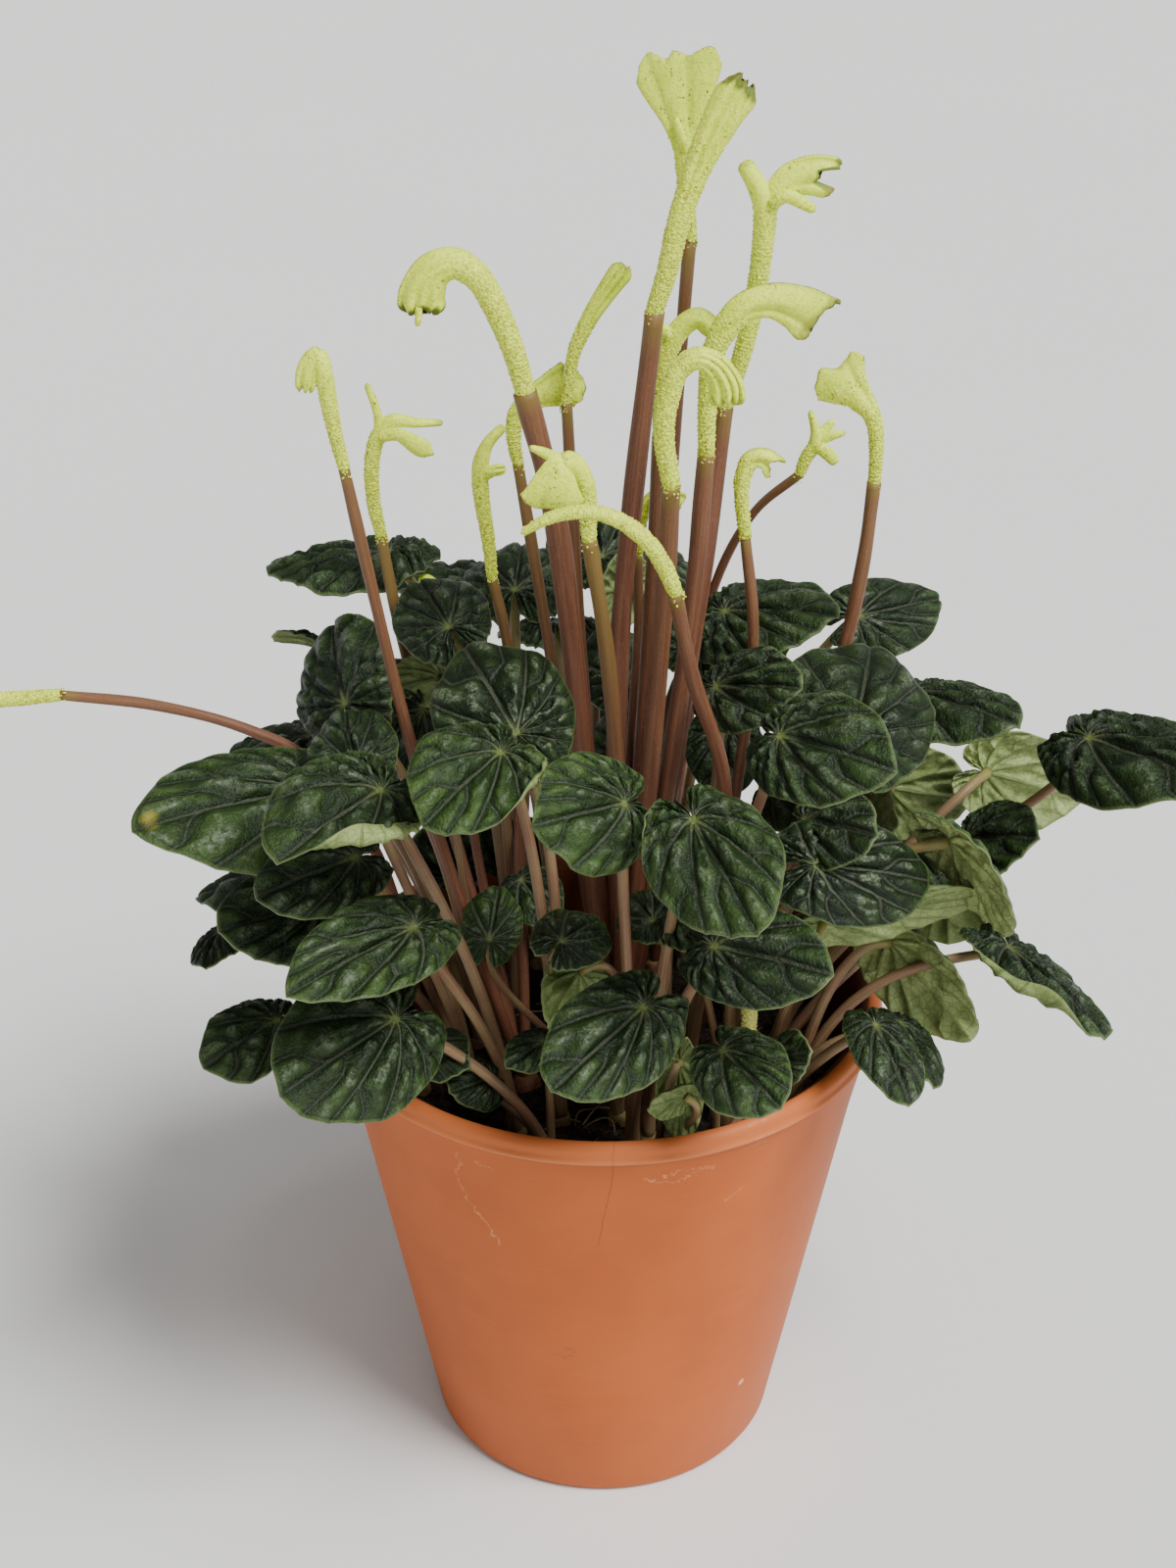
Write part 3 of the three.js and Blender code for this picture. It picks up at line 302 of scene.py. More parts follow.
# The arms of each head, by the end of its node's name.
HEADS = {
    "tall_front": [
        arm(-10, (12, 351, 2.3), (15, 361, 2.5, 2.4), (17, 371, 2.7, 2.6), (20, 381, 3, 2.6),
            (23.5, 390, 3.7, 2.6), (28, 399, 4.7, 2.6), (31.8, 405, 5.4, 2.6), ribs=3,
            fingers=1.2, ragged=1.7, green=0.9, stain=0.3, florets=0.75, edge=[(-1, -1),
            (-0.5, 1), (0.4, 0.6), (1, -1)]),
    ],
    "tall_back": [
        arm(12, (21, 363, 1.9), (20, 373, 2.1, 2), (19.6, 384, 3, 1.7), (18.6, 395, 6.6, 1.2),
            (17, 408, 11, 0.9), ribs=2, groove=0.4, ragged=0.3, green=0.1, stain=0.25,
            edge=[(-1, -5), (-0.86, -0.6), (-0.7, 0.9), (-0.45, 0), (-0.26, -1.6), (-0.1, 0.5),
            (0.1, 0), (0.3, -1.2), (0.5, -0.3), (0.75, 0.5), (0.9, 0), (1, -3)]),
        arm((11, 9.6, 9.8), (19.6, 384, 1), (18.4, 388, 1.1, 0.9), (16.8, 393, 0.7, 0.6)),
    ],
    "pronged": [
        arm(-5, (30, 325, 2.4), (34, 338, 2.3), (37, 354, 2.4), (38.4, 370, 2.7, 2.4),
            (38.2, 376, 2.9, 2.3), (35.6, 381.5, 2.4, 2.2), (32.8, 386, 2.1, 1.9), green=0.2,
            florets=0.6),
        arm(-5, (38.2, 368, 1.8), (40, 377, 2.6, 2.1), (44, 381.5, 4, 2), (49.5, 382.8, 5, 1.9),
            (54, 382.2, 5.4, 1.8), ribs=2, groove=0.5, ragged=0.8, green=0.8, stain=0.4,
            edge=[(-1, 1.5), (-0.7, 2), (-0.3, -2.4), (0.3, -3.2), (0.7, 1), (1, 0.5)]),
        arm((-7, -8, -8, -7.6), (39.6, 376, 1.6, 1.4), (43, 378.5, 1.7, 1.5), (47, 377, 1.6, 1.4),
            (50.5, 374.8, 1.2, 1.1)),
    ],
    "arched": [
        arm(-20, (25, 318, 2.2), (25, 332, 2.3), (26, 343, 2.7, 2.5), (29, 350, 3.3, 2.6),
            (33.4, 355, 3.7, 2.5), (39.6, 356.6, 4.4, 2.1), (46, 355, 5.8, 1.6),
            (51, 352, 7.2, 1.2), ribs=1.5, groove=0.35, ragged=0.5, green=0.5, stain=0.9,
            florets=0.45, edge=[(-1, 2.6), (-0.85, 1.4), (-0.3, 0.2), (0.5, 0.3), (0.85, 0.6),
            (1, -0.6)]),
    ],
    "forked": [
        arm(2, (14, 315, 2), (14, 327, 2), (15.4, 335, 2.4, 2), (18.5, 342, 2.8, 1.9),
            (23, 345, 2.8, 1.8), (27.5, 341.5, 2.8, 1.6), ribs=1, green=0.2),
        arm((2, 1, 0), (17, 338, 1.8, 1.6), (14.4, 342.3, 1.6, 1.4), (11.2, 344, 0.9), green=0.4),
    ],
    "ribbed": [
        arm(-36, (16, 316, 2.4), (14, 329, 2.5), (15, 338, 2.6, 2.5), (17.6, 345, 2.5, 2.4),
            (21.6, 347.6, 2.8, 2.6), (25.6, 346, 3.3, 2.8), (28, 342.2, 4.2, 2.9),
            (28.8, 338.4, 5, 2.8), ribs=4, opens=0.42, fingers=2.4, ragged=0.8, green=0.25,
            stain=0.4, florets=0.5),
    ],
    "fan_right": [
        arm(6, (70, 300, 1.8), (70, 310, 1.9), (68.6, 317.6, 2.2, 1.8), (65, 322.6, 3.6, 1.5),
            (61, 326.6, 6.6, 1.2), (59, 329, 8.4, 0.9), ribs=1.5, groove=0.3, ragged=0.2,
            green=0.1, stain=0.3, florets=0.7, edge=[(-1, -2), (-0.8, 1.4), (-0.35, 4),
            (0.15, 1.2), (0.5, 1.8), (0.82, 2.6), (1, 0)]),
    ],
    "back_right": [
        arm(45, (54, 287, 1.5), (55.6, 291.6, 1.8, 1.7), (57.6, 295, 1.9, 1.6),
            (57.6, 299, 1.4, 1.2), (55.8, 305, 0.8), green=0.2, florets=0.4),
        arm(45, (57, 294.6, 1.5, 1.4), (61, 297.4, 1.7, 1.1), (66, 298.4, 0.6), green=0.4),
        arm((44, 43.6, 43.4), (57.6, 295, 1.6, 1.3), (61, 293, 1.9, 1), (63.6, 290, 1.4, 0.7),
            green=0.2),
        arm((46, 47, 47.4), (57.6, 296, 1.4, 1.2), (61.6, 300, 1.3, 0.9), (63, 301, 0.7, 0.6)),
    ],
    "small_hook": [
        arm(-8, (36, 291, 1.7), (34.8, 301, 1.9), (35, 307, 2.1, 1.9), (37, 311.4, 2.4, 1.8),
            (40, 311.6, 2.9, 1.5), (42.4, 309.6, 3.6, 1), ribs=1.5, groove=0.5, ragged=0.3,
            stain=0.5, green=0.2, edge=[(-1, 1.8), (-0.6, 0), (0, -1.2), (0.5, 0.4), (1, 1.6)]),
    ],
    "low_arch": [
        arm(-48, (17, 293, 1.9), (14, 300, 2), (10, 306, 2), (4, 311, 1.9), (-4, 313.6, 1.7),
            (-13, 312, 1.4), (-20, 308, 0.9), florets=1),
    ],
    "hooded": [
        arm((-34, -33.4, -33, -33.6, -35), (-4, 301, 1.9), (-4.2, 308, 2.2),
            (-5.2, 315, 2.6, 2.4), (-8, 320, 2.9, 2.4), (-11.4, 321.6, 2.6, 2.2), florets=0.5),
        arm((-34.6, -36.4, -37.6, -38, -37.6), (-9.6, 322, 2, 1.6), (-11, 320.4, 3.6, 1.5),
            (-12, 317, 5.6, 1.3), (-12.6, 313, 7.6, 1.1), (-12.8, 310.6, 8.3, 0.8), ribs=1.5,
            groove=0.5, ragged=0.3, stain=0.25, edge=[(-1, -2.6), (-0.8, -0.2), (-0.4, 0.7),
            (0.5, 0.9), (0.8, 0), (1, -2.4)]),
        arm(-35, (-11, 321.4, 1.7, 1.5), (-14.6, 323.4, 1.3, 1.2), (-18.6, 325, 0.6), green=0.5),
    ],
    "hooked": [
        arm(-12, (-20, 331, 2.7), (-22.6, 341, 2.8), (-26.8, 352, 3.1, 2.9), (-31, 359.6, 3.4, 3),
            (-36.6, 363.2, 3.9, 3.1), (-41.6, 361.4, 4.7, 3.1), (-44.4, 356.4, 5.7, 3),
            (-45, 352, 6.3, 2.8), ribs=3.5, groove=0.15, fingers=1.2, opens=0.5, ragged=1.8,
            green=0.9, stain=0.7, florets=0.5),
        arm((-14, -14.4, -14.2), (-45.4, 353, 0.9), (-45.6, 350, 0.9, 0.8), (-46, 348, 0.6),
            green=0.9),
    ],
    "blunt": [
        arm(8, (-10, 321, 1.5), (-8, 334, 1.7), (-4, 343, 2.2, 2), (1, 351, 2.8, 2.2),
            (4.6, 356, 3.3, 2.2), ribs=3, fingers=0.7, ragged=0.9, green=0.3, stain=0.3,
            florets=0.45),
    ],
    "behind": [
        arm(14, (-23, 302, 1.6), (-24, 309, 1.9, 1.8), (-23, 315.6, 2.2, 1.8),
            (-18.6, 319.6, 3.2, 1.5), (-13, 322.2, 5.2, 1.1), (-9.6, 323.4, 6.6, 0.9), ribs=1.5,
            ragged=0.3, green=0.2, stain=1, edge=[(-1, 0.6), (-0.4, -0.4), (0.3, 0.6), (0.8, 1.4),
            (1, 0)]),
        arm((13.4, 12.4, 12.8), (-10, 322, 2.6, 1.2), (-7.4, 323, 4, 0.9), (-5.4, 323, 4.6, 0.6),
            stain=1, green=0.6, ribs=2, edge=[(-1, -2.6), (-0.6, -0.3), (0.1, 0.5), (0.6, -0.2),
            (1, -2.6)]),
        arm((12, 11.4, 11.8), (-10, 321, 2, 1.1), (-7.6, 320.6, 2.6, 0.8), (-6, 320, 2.6, 0.5),
            stain=1, green=0.8, edge=[(-1, -1.6), (0, 0.3), (1, -1.6)]),
    ],
    "twin_lobes": [
        arm(6, (-30, 273, 1.5), (-31, 285, 1.8), (-32.4, 296, 2.1, 1.9), (-32.4, 304, 2.2, 1.8),
            (-30.4, 310, 1.6, 1.5), (-26, 315, 1.2, 1.1), green=0.2, stain=0.4),
        arm((6, 5, 4.6), (-32.4, 301, 1.8, 1.6), (-29, 303, 1.6, 1.4), (-26.4, 303.6, 1.6, 1.3),
            ribs=2, fingers=0.8, ragged=0.5),
    ],
    "spatula": [
        arm(25, (-61, 277, 1.7), (-62.6, 287, 1.9), (-62.4, 298, 2, 1.9), (-60.4, 305, 2.1, 1.8),
            (-56.6, 309, 2, 1.7), (-50, 308.6, 1.3), (-43, 308.6, 0.8), green=0.4, florets=0.5),
        arm(25, (-60, 305, 1.6, 1.5), (-60.4, 311, 1.2, 1.1), (-63, 319.6, 0.9, 0.8), green=0.4),
        arm((24, 23, 22.6, 22.6), (-60, 305, 1.6, 1.5), (-55, 306, 1.8, 1.4),
            (-50.4, 303.4, 2.6, 1.2), (-45.8, 300.6, 2.8, 1), edge=[(-1, -2.6), (-0.7, -0.9),
            (0, 0.3), (0.7, -0.9), (1, -2.6)]),
    ],
    "flap_left": [
        arm(-20, (-65, 314, 1.6), (-66.6, 322, 1.8), (-68, 332, 2.1, 2), (-69, 340, 2.3, 2),
            (-69.8, 344, 2, 1.8), florets=0.8),
        arm((-20.6, -21, -21, -21), (-69.4, 344, 1.6, 1.4), (-71.4, 342.4, 2, 1.3),
            (-72.8, 338.6, 2.6, 1.2), (-73.4, 334.6, 2.5, 1), ribs=2, groove=0.3, fingers=1,
            ragged=0.7, green=0.2, stain=0.4),
    ],
    "bud": [
        arm(34, (-47, 249, 1.7, 1.6), (-47.6, 256, 1.8, 1.7), (-49.4, 258.6, 1.9, 1.7),
            (-52, 258.4, 1.6, 1.4)),
    ],
    "short_back": [
        arm(18, (9, 274, 1.3), (9.4, 282, 1.6, 1.5), (10.8, 288, 1.9, 1.7), (14, 290.6, 2.2, 1.6),
            (18, 289.6, 2.8, 1.2), (20.6, 288.4, 3.2, 0.9), ribs=1.5, ragged=0.4, stain=0.3,
            florets=0.3),
        arm((16.6, 15.6, 15.4), (12.4, 291, 1.4, 1.1), (13.8, 289, 1.8, 0.9),
            (14.6, 286.6, 1.2, 0.7)),
    ],
    "trailing": [
        arm(0, (-148, 240, 1.8), (-158, 239, 2), (-169, 238, 2.2, 2), (-182, 236, 3, 2),
            (-190, 234.4, 4.5, 1.7), ribs=2, groove=0.3, fingers=0.3, green=0.3, stain=0.4,
            florets=0.8),
    ],
    "low": [
        arm(-45, (39, 154, 1.9), (39, 166, 2.1), (39, 177, 2.2, 2.1), (40, 184, 2.2, 2),
            florets=0.9),
    ],
}


# ---- shaders ----------------------------------------------------------------------------
class Wire:
    """A shader socket. Arithmetic on it adds Math nodes."""

    def __init__(self, finish, socket):
        self.finish = finish
        self.socket = socket

    def math(self, operation, other=None, turned=False):
        """A Math node on this socket and another value, in that order unless turned."""
        values = [self] if other is None else [other, self] if turned else [self, other]
        return self.finish.node("ShaderNodeMath", {"operation": operation},
                                dict(enumerate(values)))

    def __add__(self, other):
        return self.math("ADD", other)

    def __sub__(self, other):
        return self.math("SUBTRACT", other)

    def __rsub__(self, other):
        return self.math("SUBTRACT", other, turned=True)

    def __mul__(self, other):
        return self.math("MULTIPLY", other)

    def __truediv__(self, other):
        return self.math("DIVIDE", other)

    __radd__ = __add__
    __rmul__ = __mul__

    def step(self, low, high):
        """0 below low and 1 above high, smooth between; falls if low is above high."""
        turned = low > high
        ends = {"From Min": min(low, high), "From Max": max(low, high),
                "To Min": float(turned), "To Max": float(not turned)}
        return self.finish.node("ShaderNodeMapRange", {"interpolation_type": "SMOOTHSTEP"},
                                {"Value": self, **ends})


class Finish:
    """One procedural material: a Principled shader and the nodes that feed it."""

    def __init__(self, name, **uniform):
        self.material = bpy.data.materials.new(name)
        self.material.use_nodes = True
        self.tree = self.material.node_tree
        shader = self.tree.nodes["Principled BSDF"]
        self.sockets = {s.name.lower().replace(" ", "_"): s for s in shader.inputs}
        for name, value in uniform.items():
            self.sockets[name].default_value = value

    def node(self, kind, settings=None, inputs=None, output=0):
        """Adds a node, sets it, then fills its sockets with values or wires."""
        made = self.tree.nodes.new(kind)
        for name, value in (settings or {}).items():
            setattr(made, name, value)
        for key, value in (inputs or {}).items():
            if isinstance(value, Wire):
                self.tree.links.new(value.socket, made.inputs[key])
            else:
                made.inputs[key].default_value = value
        return Wire(self, made.outputs[output])

    def coordinates(self, name, scale):
        """Coordinates of a kind, times scale."""
        where = self.node("ShaderNodeTexCoord", output=name)
        return self.node("ShaderNodeMapping", None, {"Vector": where, "Scale": scale})

    def place(self, scale=(1, 1, 1)):
        """Object coordinates in millimetres, times scale."""
        return self.coordinates("Object", [s / MM for s in scale])

    def along(self, scale):
        """The piece's own UV map, times scale."""
        return self.coordinates("UV", scale)

    def value(self, attribute):
        """A number stored on the piece's points."""
        return self.node("ShaderNodeAttribute", {"attribute_name": attribute}, output="Fac")

    def noise(self, where, size=1.0, detail=3.0, roughness=0.55):
        """Cloudy noise, with blots of about the given size in the unit of where."""
        return self.node("ShaderNodeTexNoise", None, {
            "Vector": where, "Scale": 1 / size, "Detail": detail, "Roughness": roughness})

    def cells(self, where, size=1.0, feature="F1"):
        """Distance to the nearest cell centre, or to the nearest cell edge."""
        return self.node("ShaderNodeTexVoronoi", {"feature": feature},
                         {"Vector": where, "Scale": 1 / size})

    def mix(self, amount, low, high):
        """A colour between two colours."""
        def colour(c):
            return c if isinstance(c, Wire) else (*c, 1)
        return self.node("ShaderNodeMix", {"data_type": "RGBA"},
                         {0: amount, 6: colour(low), 7: colour(high)}, output=2)

    def layers(self, colour, *coats):
        """A colour with others laid over it in turn, each with how much of it shows."""
        for amount, coat in coats:
            colour = self.mix(amount, colour, coat)
        return colour

    def axis(self, where, name):
        """One coordinate of a place."""
        return self.node("ShaderNodeSeparateXYZ", None, {"Vector": where}, output=name)

    def vector(self, operation, *values, output="Vector"):
        """A Vector Math node."""
        return self.node("ShaderNodeVectorMath", {"operation": operation},
                         dict(enumerate(values)), output)

    def wander(self, where, scale, reach):
        """Places pushed about by noise, by up to reach along each axis."""
        drift = self.node("ShaderNodeTexNoise", None,
                          {"Vector": where, "Scale": scale, "Detail": 4.0}, output="Color")
        return self.vector("MULTIPLY_ADD", drift, reach, where)

    def near(self, where, centre, radius):
        """1 at a place and 0 beyond a radius."""
        return self.vector("DISTANCE", where, centre, output="Value").step(radius, 0.3 * radius)

    def strokes(self, where, lines, width):
        """1 on lines between pairs of places, seen from the front, and 0 beyond a width."""
        flat = self.vector("MULTIPLY", where, (1, 0, 1))
        marked = None
        for start, end in lines:
            a, b = Vector((start[0], 0, start[2])), Vector((end[0], 0, end[2]))
            way = (b - a).normalized()
            away = self.vector("SUBTRACT", flat, a)
            run = self.vector("DOT_PRODUCT", away, way, output="Value")
            run = run.math("MAXIMUM", 0.0).math("MINIMUM", (b - a).length)
            foot = self.vector("MULTIPLY", way, run)
            line = self.vector("DISTANCE", away, foot, output="Value").step(width, 0.3 * width)
            marked = marked.math("MAXIMUM", line) if marked else line
        return marked * self.axis(where, "Y").step(-20, -30)

    def set(self, **inputs):
        """Feeds sockets of the shader."""
        for name, wire in inputs.items():
            self.tree.links.new(wire.socket, self.sockets[name])

    def bump(self, height, depth, strength=1.0):
        """Feeds the normal with a relief of the given depth in millimetres."""
        relief = self.node("ShaderNodeBump", None,
                           {"Height": height, "Distance": depth * MM, "Strength": strength})
        self.set(normal=relief)


# Marks on the pot's front, each a line from one place to the next on its wall. The noise that
# bends them moves them by about half of its reach, so they are set back by that much.
SCUFFS = [((-35, -70, 140), (-36, -69, 131)), ((-36, -69, 131), (-33, -68, 122)),
          ((-33, -68, 122), (-30, -68, 117)), ((-30, -68, 117), (-25, -69, 108)),
          ((-30, -72, 140), (-26, -73, 138)), ((14, -77, 140), (19, -76, 137)),
          ((19, -76, 137), (25, -75, 137)), ((25, -75, 137), (33, -73, 141.5)),
          ((33, -73, 141.5), (20, -75, 140)), ((37, -67, 125), (41, -65, 127))]
CRACK = [((3.4, -78, 149), (3.2, -76, 136)), ((3.2, -76, 136), (-0.5, -70, 110))]
LIP_SCRAPE = (43, -67, 144.5), 9        # a place and how far its mark reaches
DARK_MARK = (-10.8, -61.8, 63.7), 4.5
PALE_SPECK = (41, -40, 33), 1.6
BARE_CLAY = (0.78, 0.40, 0.20)

# Yellow spots on leaves, and the reach of the painted shade, in a darker tan, over the low spike.
SPOTS = [((-115.5, -49.5, 230.5), 4.2), ((-10.1, -92.8, 248.9), 2.8), ((-80, -70, 250.5), 3.5),
         ((-67.3, -93, 243.4), 1.8), ((3, -78, 262), 1.5)]
SHADED_SPIKE = (39, -45, 168), 26


def terracotta():
    """Smooth fired clay with faint throwing marks, pale scuffs, a hairline crack and specks, and
    painted light and shade: a lightened lip, a highlight along its lower edge, a shadow under it
    and shade inside.
    """
    f = Finish("fired_clay", roughness=0.5, specular_ior_level=0.18)
    where = f.place()
    cloud = f.noise(where, 38, 4)
    rings = f.noise(f.place((0.03, 0.03, 0.9)), 1, 3)
    grain = f.noise(where, 0.7, 3, 0.7)
    hair = f.noise(where, 1.4, 4, 0.7)
    drift = f.noise(where, 5, 3, 0.6)
    scuffs = f.strokes(f.wander(where, 0.35, (7, 7, 7)), SCUFFS, 0.42) * hair.step(0.36, 0.56)
    scrape = f.near(where, *LIP_SCRAPE) * rings.step(0.45, 0.6) * hair.step(0.4, 0.6)
    crack = f.strokes(f.wander(where, 0.5, (1.6, 1.6, 0)), CRACK, 0.14)
    height = f.axis(where, "Z") - LIP_LOW
    # Painted highlight: a light line along the lip's lower edge, broken up by noise.
    lip_highlight = height.step(-0.1, 0.7) * height.step(2.2, 1.0)
    # Painted shadow: a dark line just under the lip.
    lip_shadow = height.step(-2.2, -1.2) * height.step(0.1, -0.4)
    clay = f.layers(
        f.mix(cloud.step(0.3, 0.7), (0.440, 0.098, 0.018), (0.500, 0.118, 0.025)),
        (rings.step(0.55, 0.8) * 0.18, (0.58, 0.165, 0.042)),
        (grain.step(0.56, 0.75) * 0.2, (0.38, 0.066, 0.008)),
        (scuffs * 0.42, BARE_CLAY),
        (scrape * 0.4, BARE_CLAY),
        (crack * 0.42, (0.20, 0.04, 0.012)),
        (f.near(where, *DARK_MARK) * hair.step(0.5, 0.62) * 0.5, (0.20, 0.05, 0.02)),
        (f.near(where, *PALE_SPECK) * 0.7, (0.92, 0.55, 0.34)),
        # Painted light: the lip is lightened against the shade that the leaves cast on it.
        (height.step(-0.4, 0.4) * 0.5, (0.53, 0.155, 0.053)),
        # the painted highlight along the lip's lower edge
        (lip_highlight * (0.1 + hair * 0.4), (0.66, 0.26, 0.10)),
        # the painted shadow under the lip
        (lip_shadow * 0.4, (0.30, 0.055, 0.012)),
        # Painted shade: the inside of the pot, nearly black.
        (f.value("inner") * 0.92, (0.065, 0.018, 0.008)))
    f.set(base_color=clay, roughness=0.42 + cloud * 0.14 + scuffs * 0.2 + drift * 0.05)
    f.bump(grain * 0.4 + rings * 0.6 - crack * 2, 0.05)
    return f.material


def humus():
    """Nearly black potting soil with brown fibre."""
    f = Finish("humus", roughness=0.95, specular_ior_level=0.2)
    where = f.place()
    cloud = f.noise(where, 3, 4, 0.7)
    f.set(base_color=f.layers(
        f.mix(cloud.step(0.4, 0.7), (0.006, 0.004, 0.003), (0.035, 0.022, 0.015)),
        (f.noise(where, 0.8).step(0.62, 0.72), (0.12, 0.075, 0.045))))
    f.bump(cloud - f.cells(where, 1.6) * 0.6, 0.9)
    return f.material


def veins(f):
    """Distance in mm to the nearest vein of a leaf and to the nearest branch of one, and how
    far out the point is, 0 to 1. It follows the same veins as quilt."""
    uv = f.node("ShaderNodeTexCoord", output="UV")
    side = f.axis(uv, "X") * 2 - 1
    out = f.axis(uv, "Y")
    seed = f.value("seed")
    sway = (side * VEIN_SWAY_RATE + seed).math("SINE") - seed.math("SINE")
    phase = side * VEINS + sway * VEIN_SWAY
    part = phase.math("ABSOLUTE").math("FRACT")
    turn = phase.math("FLOOR") * FORK_TURN + seed
    start = turn.math("SINE") * FORK_SPREAD + FORK_START
    opened = ((out - start) / FORK_LENGTH).math("MAXIMUM", 0.0).math("MINIMUM", 1.0)
    branch = opened * opened * (3 - opened * 2) * 0.5
    reach = out * f.value("size") * (LOBE_ANGLE / VEINS * 0.6)
    return part.math("MINIMUM", 1 - part) * reach, (part - branch).math("ABSOLUTE") * reach, out


def upper_skin():
    """The dark glossy upper side of a leaf: puckered crests, thin pale veins, a greener edge, with
    painted shade in the vein valleys, painted light on the crests and a painted silvery sheen
    along their tops.
    """
    f = Finish("leaf_upper", roughness=0.4, specular_ior_level=0.25, coat_roughness=0.42)
    where = f.place()
    main, fork, out = veins(f)
    crest, tone, silvered = f.value("crest"), f.value("tone"), f.value("silver")
    cloud = f.noise(where, 7, 3)
    fine = f.noise(where, 0.55, 3, 0.7)
    pores = f.cells(where, 0.8)
    lumps = f.noise(where, 1.9, 3, 0.65)
    forked = out.step(0.45, 0.6)
    dark = f.mix(tone, (0.0030, 0.0085, 0.0012), (0.0110, 0.0300, 0.0034))
    green = f.mix(tone, (0.0170, 0.0400, 0.0060), (0.056, 0.110, 0.0130))
    # Painted shade: valley is 1 in the dark troughs along the veins and their branches.
    valley = (main.step(1.2, 0.3) + fork.step(0.9, 0.25) * forked).math("MINIMUM", 1.0)
    grown = cloud.step(0.42, 0.62) * 0.5 + out.step(0.35, 1.0) * (0.35 + tone * 0.5)
    # Painted sheen: a granular silvery streak along the crest tops, stronger on leaves given more
    # silver.
    streak = crest.step(0.68, 1.0) * lumps.step(0.36, 0.56)
    silver = streak * silvered * (0.25 + pores.step(0.65, 0.25) * 0.55)
    line = main.step(0.42, 0.20) * (1 - out * 0.5) + fork.step(0.36, 0.16) * forked * 0.5
    line = line.math("MINIMUM", 1.0)
    star = out.step(0.07, 0.02) + main.step(0.6, 0.1) * out.step(0.2, 0.05) * 0.5
    skin = f.layers(
        dark,
        # The lighter green lies on the crests and stays out of the valleys: the leaf's own green,
        # with painted light on the crests and painted shade in the valleys.
        (grown * (1 - valley * 0.9) * crest.step(0.1, 0.8), green),
        # painted shade deepening the valleys, less towards the margin
        (valley * (1 - out.step(0.6, 1.0) * 0.7) * 0.36, (0.0014, 0.0042, 0.0007)),
        # the painted silvery sheen on the crests
        (silver.math("MINIMUM", 0.9), (0.125, 0.160, 0.092)),
        (fine.step(0.50, 0.68) * 0.35, dark),
        (line * (0.20 + silvered * 0.24), (0.110, 0.125, 0.078)),
        (star.math("MINIMUM", 1.0) * 0.55, (0.15, 0.19, 0.035)),
        (out.step(0.97, 0.99) * 0.6, (0.085, 0.130, 0.036)),
        *((f.near(where, *spot) * (0.35 + fine * 0.6), (0.36, 0.29, 0.02)) for spot in SPOTS))
    f.set(base_color=skin, roughness=0.34 + fine * 0.16 + pores * 0.12,
          coat_weight=crest.step(0.4, 1.0) * lumps.step(0.40, 0.62) * 0.4)
    f.bump(fine * 0.35 + lumps * 1.7 - pores * 0.4 - line * 0.6, 0.5)
    return f.material


def under_skin():
    """The sage underside of a leaf, paler on a young one, with darker veins standing out."""
    f = Finish("leaf_under", roughness=0.5, specular_ior_level=0.3)
    where = f.place()
    main, fork, out = veins(f)
    cloud = f.noise(where, 6, 3)
    net = f.cells(where, 2.2, "DISTANCE_TO_EDGE")
    fine = f.noise(where, 0.5, 3)
    line = main.step(0.5, 0.15) + fork.step(0.4, 0.12) * out.step(0.45, 0.6) * 0.8
    line = line.math("MINIMUM", 1.0)
    skin = f.layers(
        f.mix(cloud.step(0.3, 0.7), (0.112, 0.154, 0.044), (0.190, 0.245, 0.080)),
        (f.value("tone"),
         f.mix(cloud.step(0.3, 0.7), (0.300, 0.370, 0.125), (0.440, 0.520, 0.200))),
        (net.step(0.10, 0.02) * 0.4, (0.055, 0.090, 0.016)),
        (line * 0.5, (0.045, 0.078, 0.012)),
        (out.step(0.95, 0.99) * 0.5, (0.22, 0.28, 0.09)))
    f.set(base_color=skin, roughness=0.45 + fine * 0.15)
    f.bump(fine * 0.4 + line * 0.9 + net * 0.4, 0.3, 0.8)
    return f.material


def rim_skin():
    """The thin light green margin of a leaf."""
    f = Finish("leaf_rim", roughness=0.45)
    cloud = f.noise(f.place(), 5, 2)
    f.set(base_color=f.mix(cloud.step(0.35, 0.65), (0.070, 0.105, 0.030), (0.135, 0.180, 0.060)))
    return f.material


def petiole_skin():
    """A fleshy pink-tan petiole with fine streaks, greener near the blade."""
    f = Finish("petiole", roughness=0.45, specular_ior_level=0.35)
    height = f.value("reach")
    streaks = f.noise(f.along((16, 3, 1)), 1, 4, 0.65)
    fleck = f.noise(f.place(), 0.5, 2)
    f.set(base_color=f.layers(
        f.mix(f.noise(f.place(), 14, 3).step(0.35, 0.65),
              (0.215, 0.138, 0.070), (0.190, 0.090, 0.052)),
        (streaks.step(0.42, 0.68) * 0.6, (0.31, 0.215, 0.105)),
        (streaks.step(0.45, 0.25) * 0.5, (0.14, 0.05, 0.025)),
        (height.step(0.72, 1.0) * 0.6, (0.26, 0.27, 0.07)),
        (height.step(0.28, 0.0) * 0.3, (0.32, 0.22, 0.11)),
        (fleck.step(0.60, 0.68) * 0.35, (0.13, 0.045, 0.02))), roughness=0.36 + streaks * 0.18)
    f.bump(streaks + fleck * 0.3, 0.15)
    return f.material


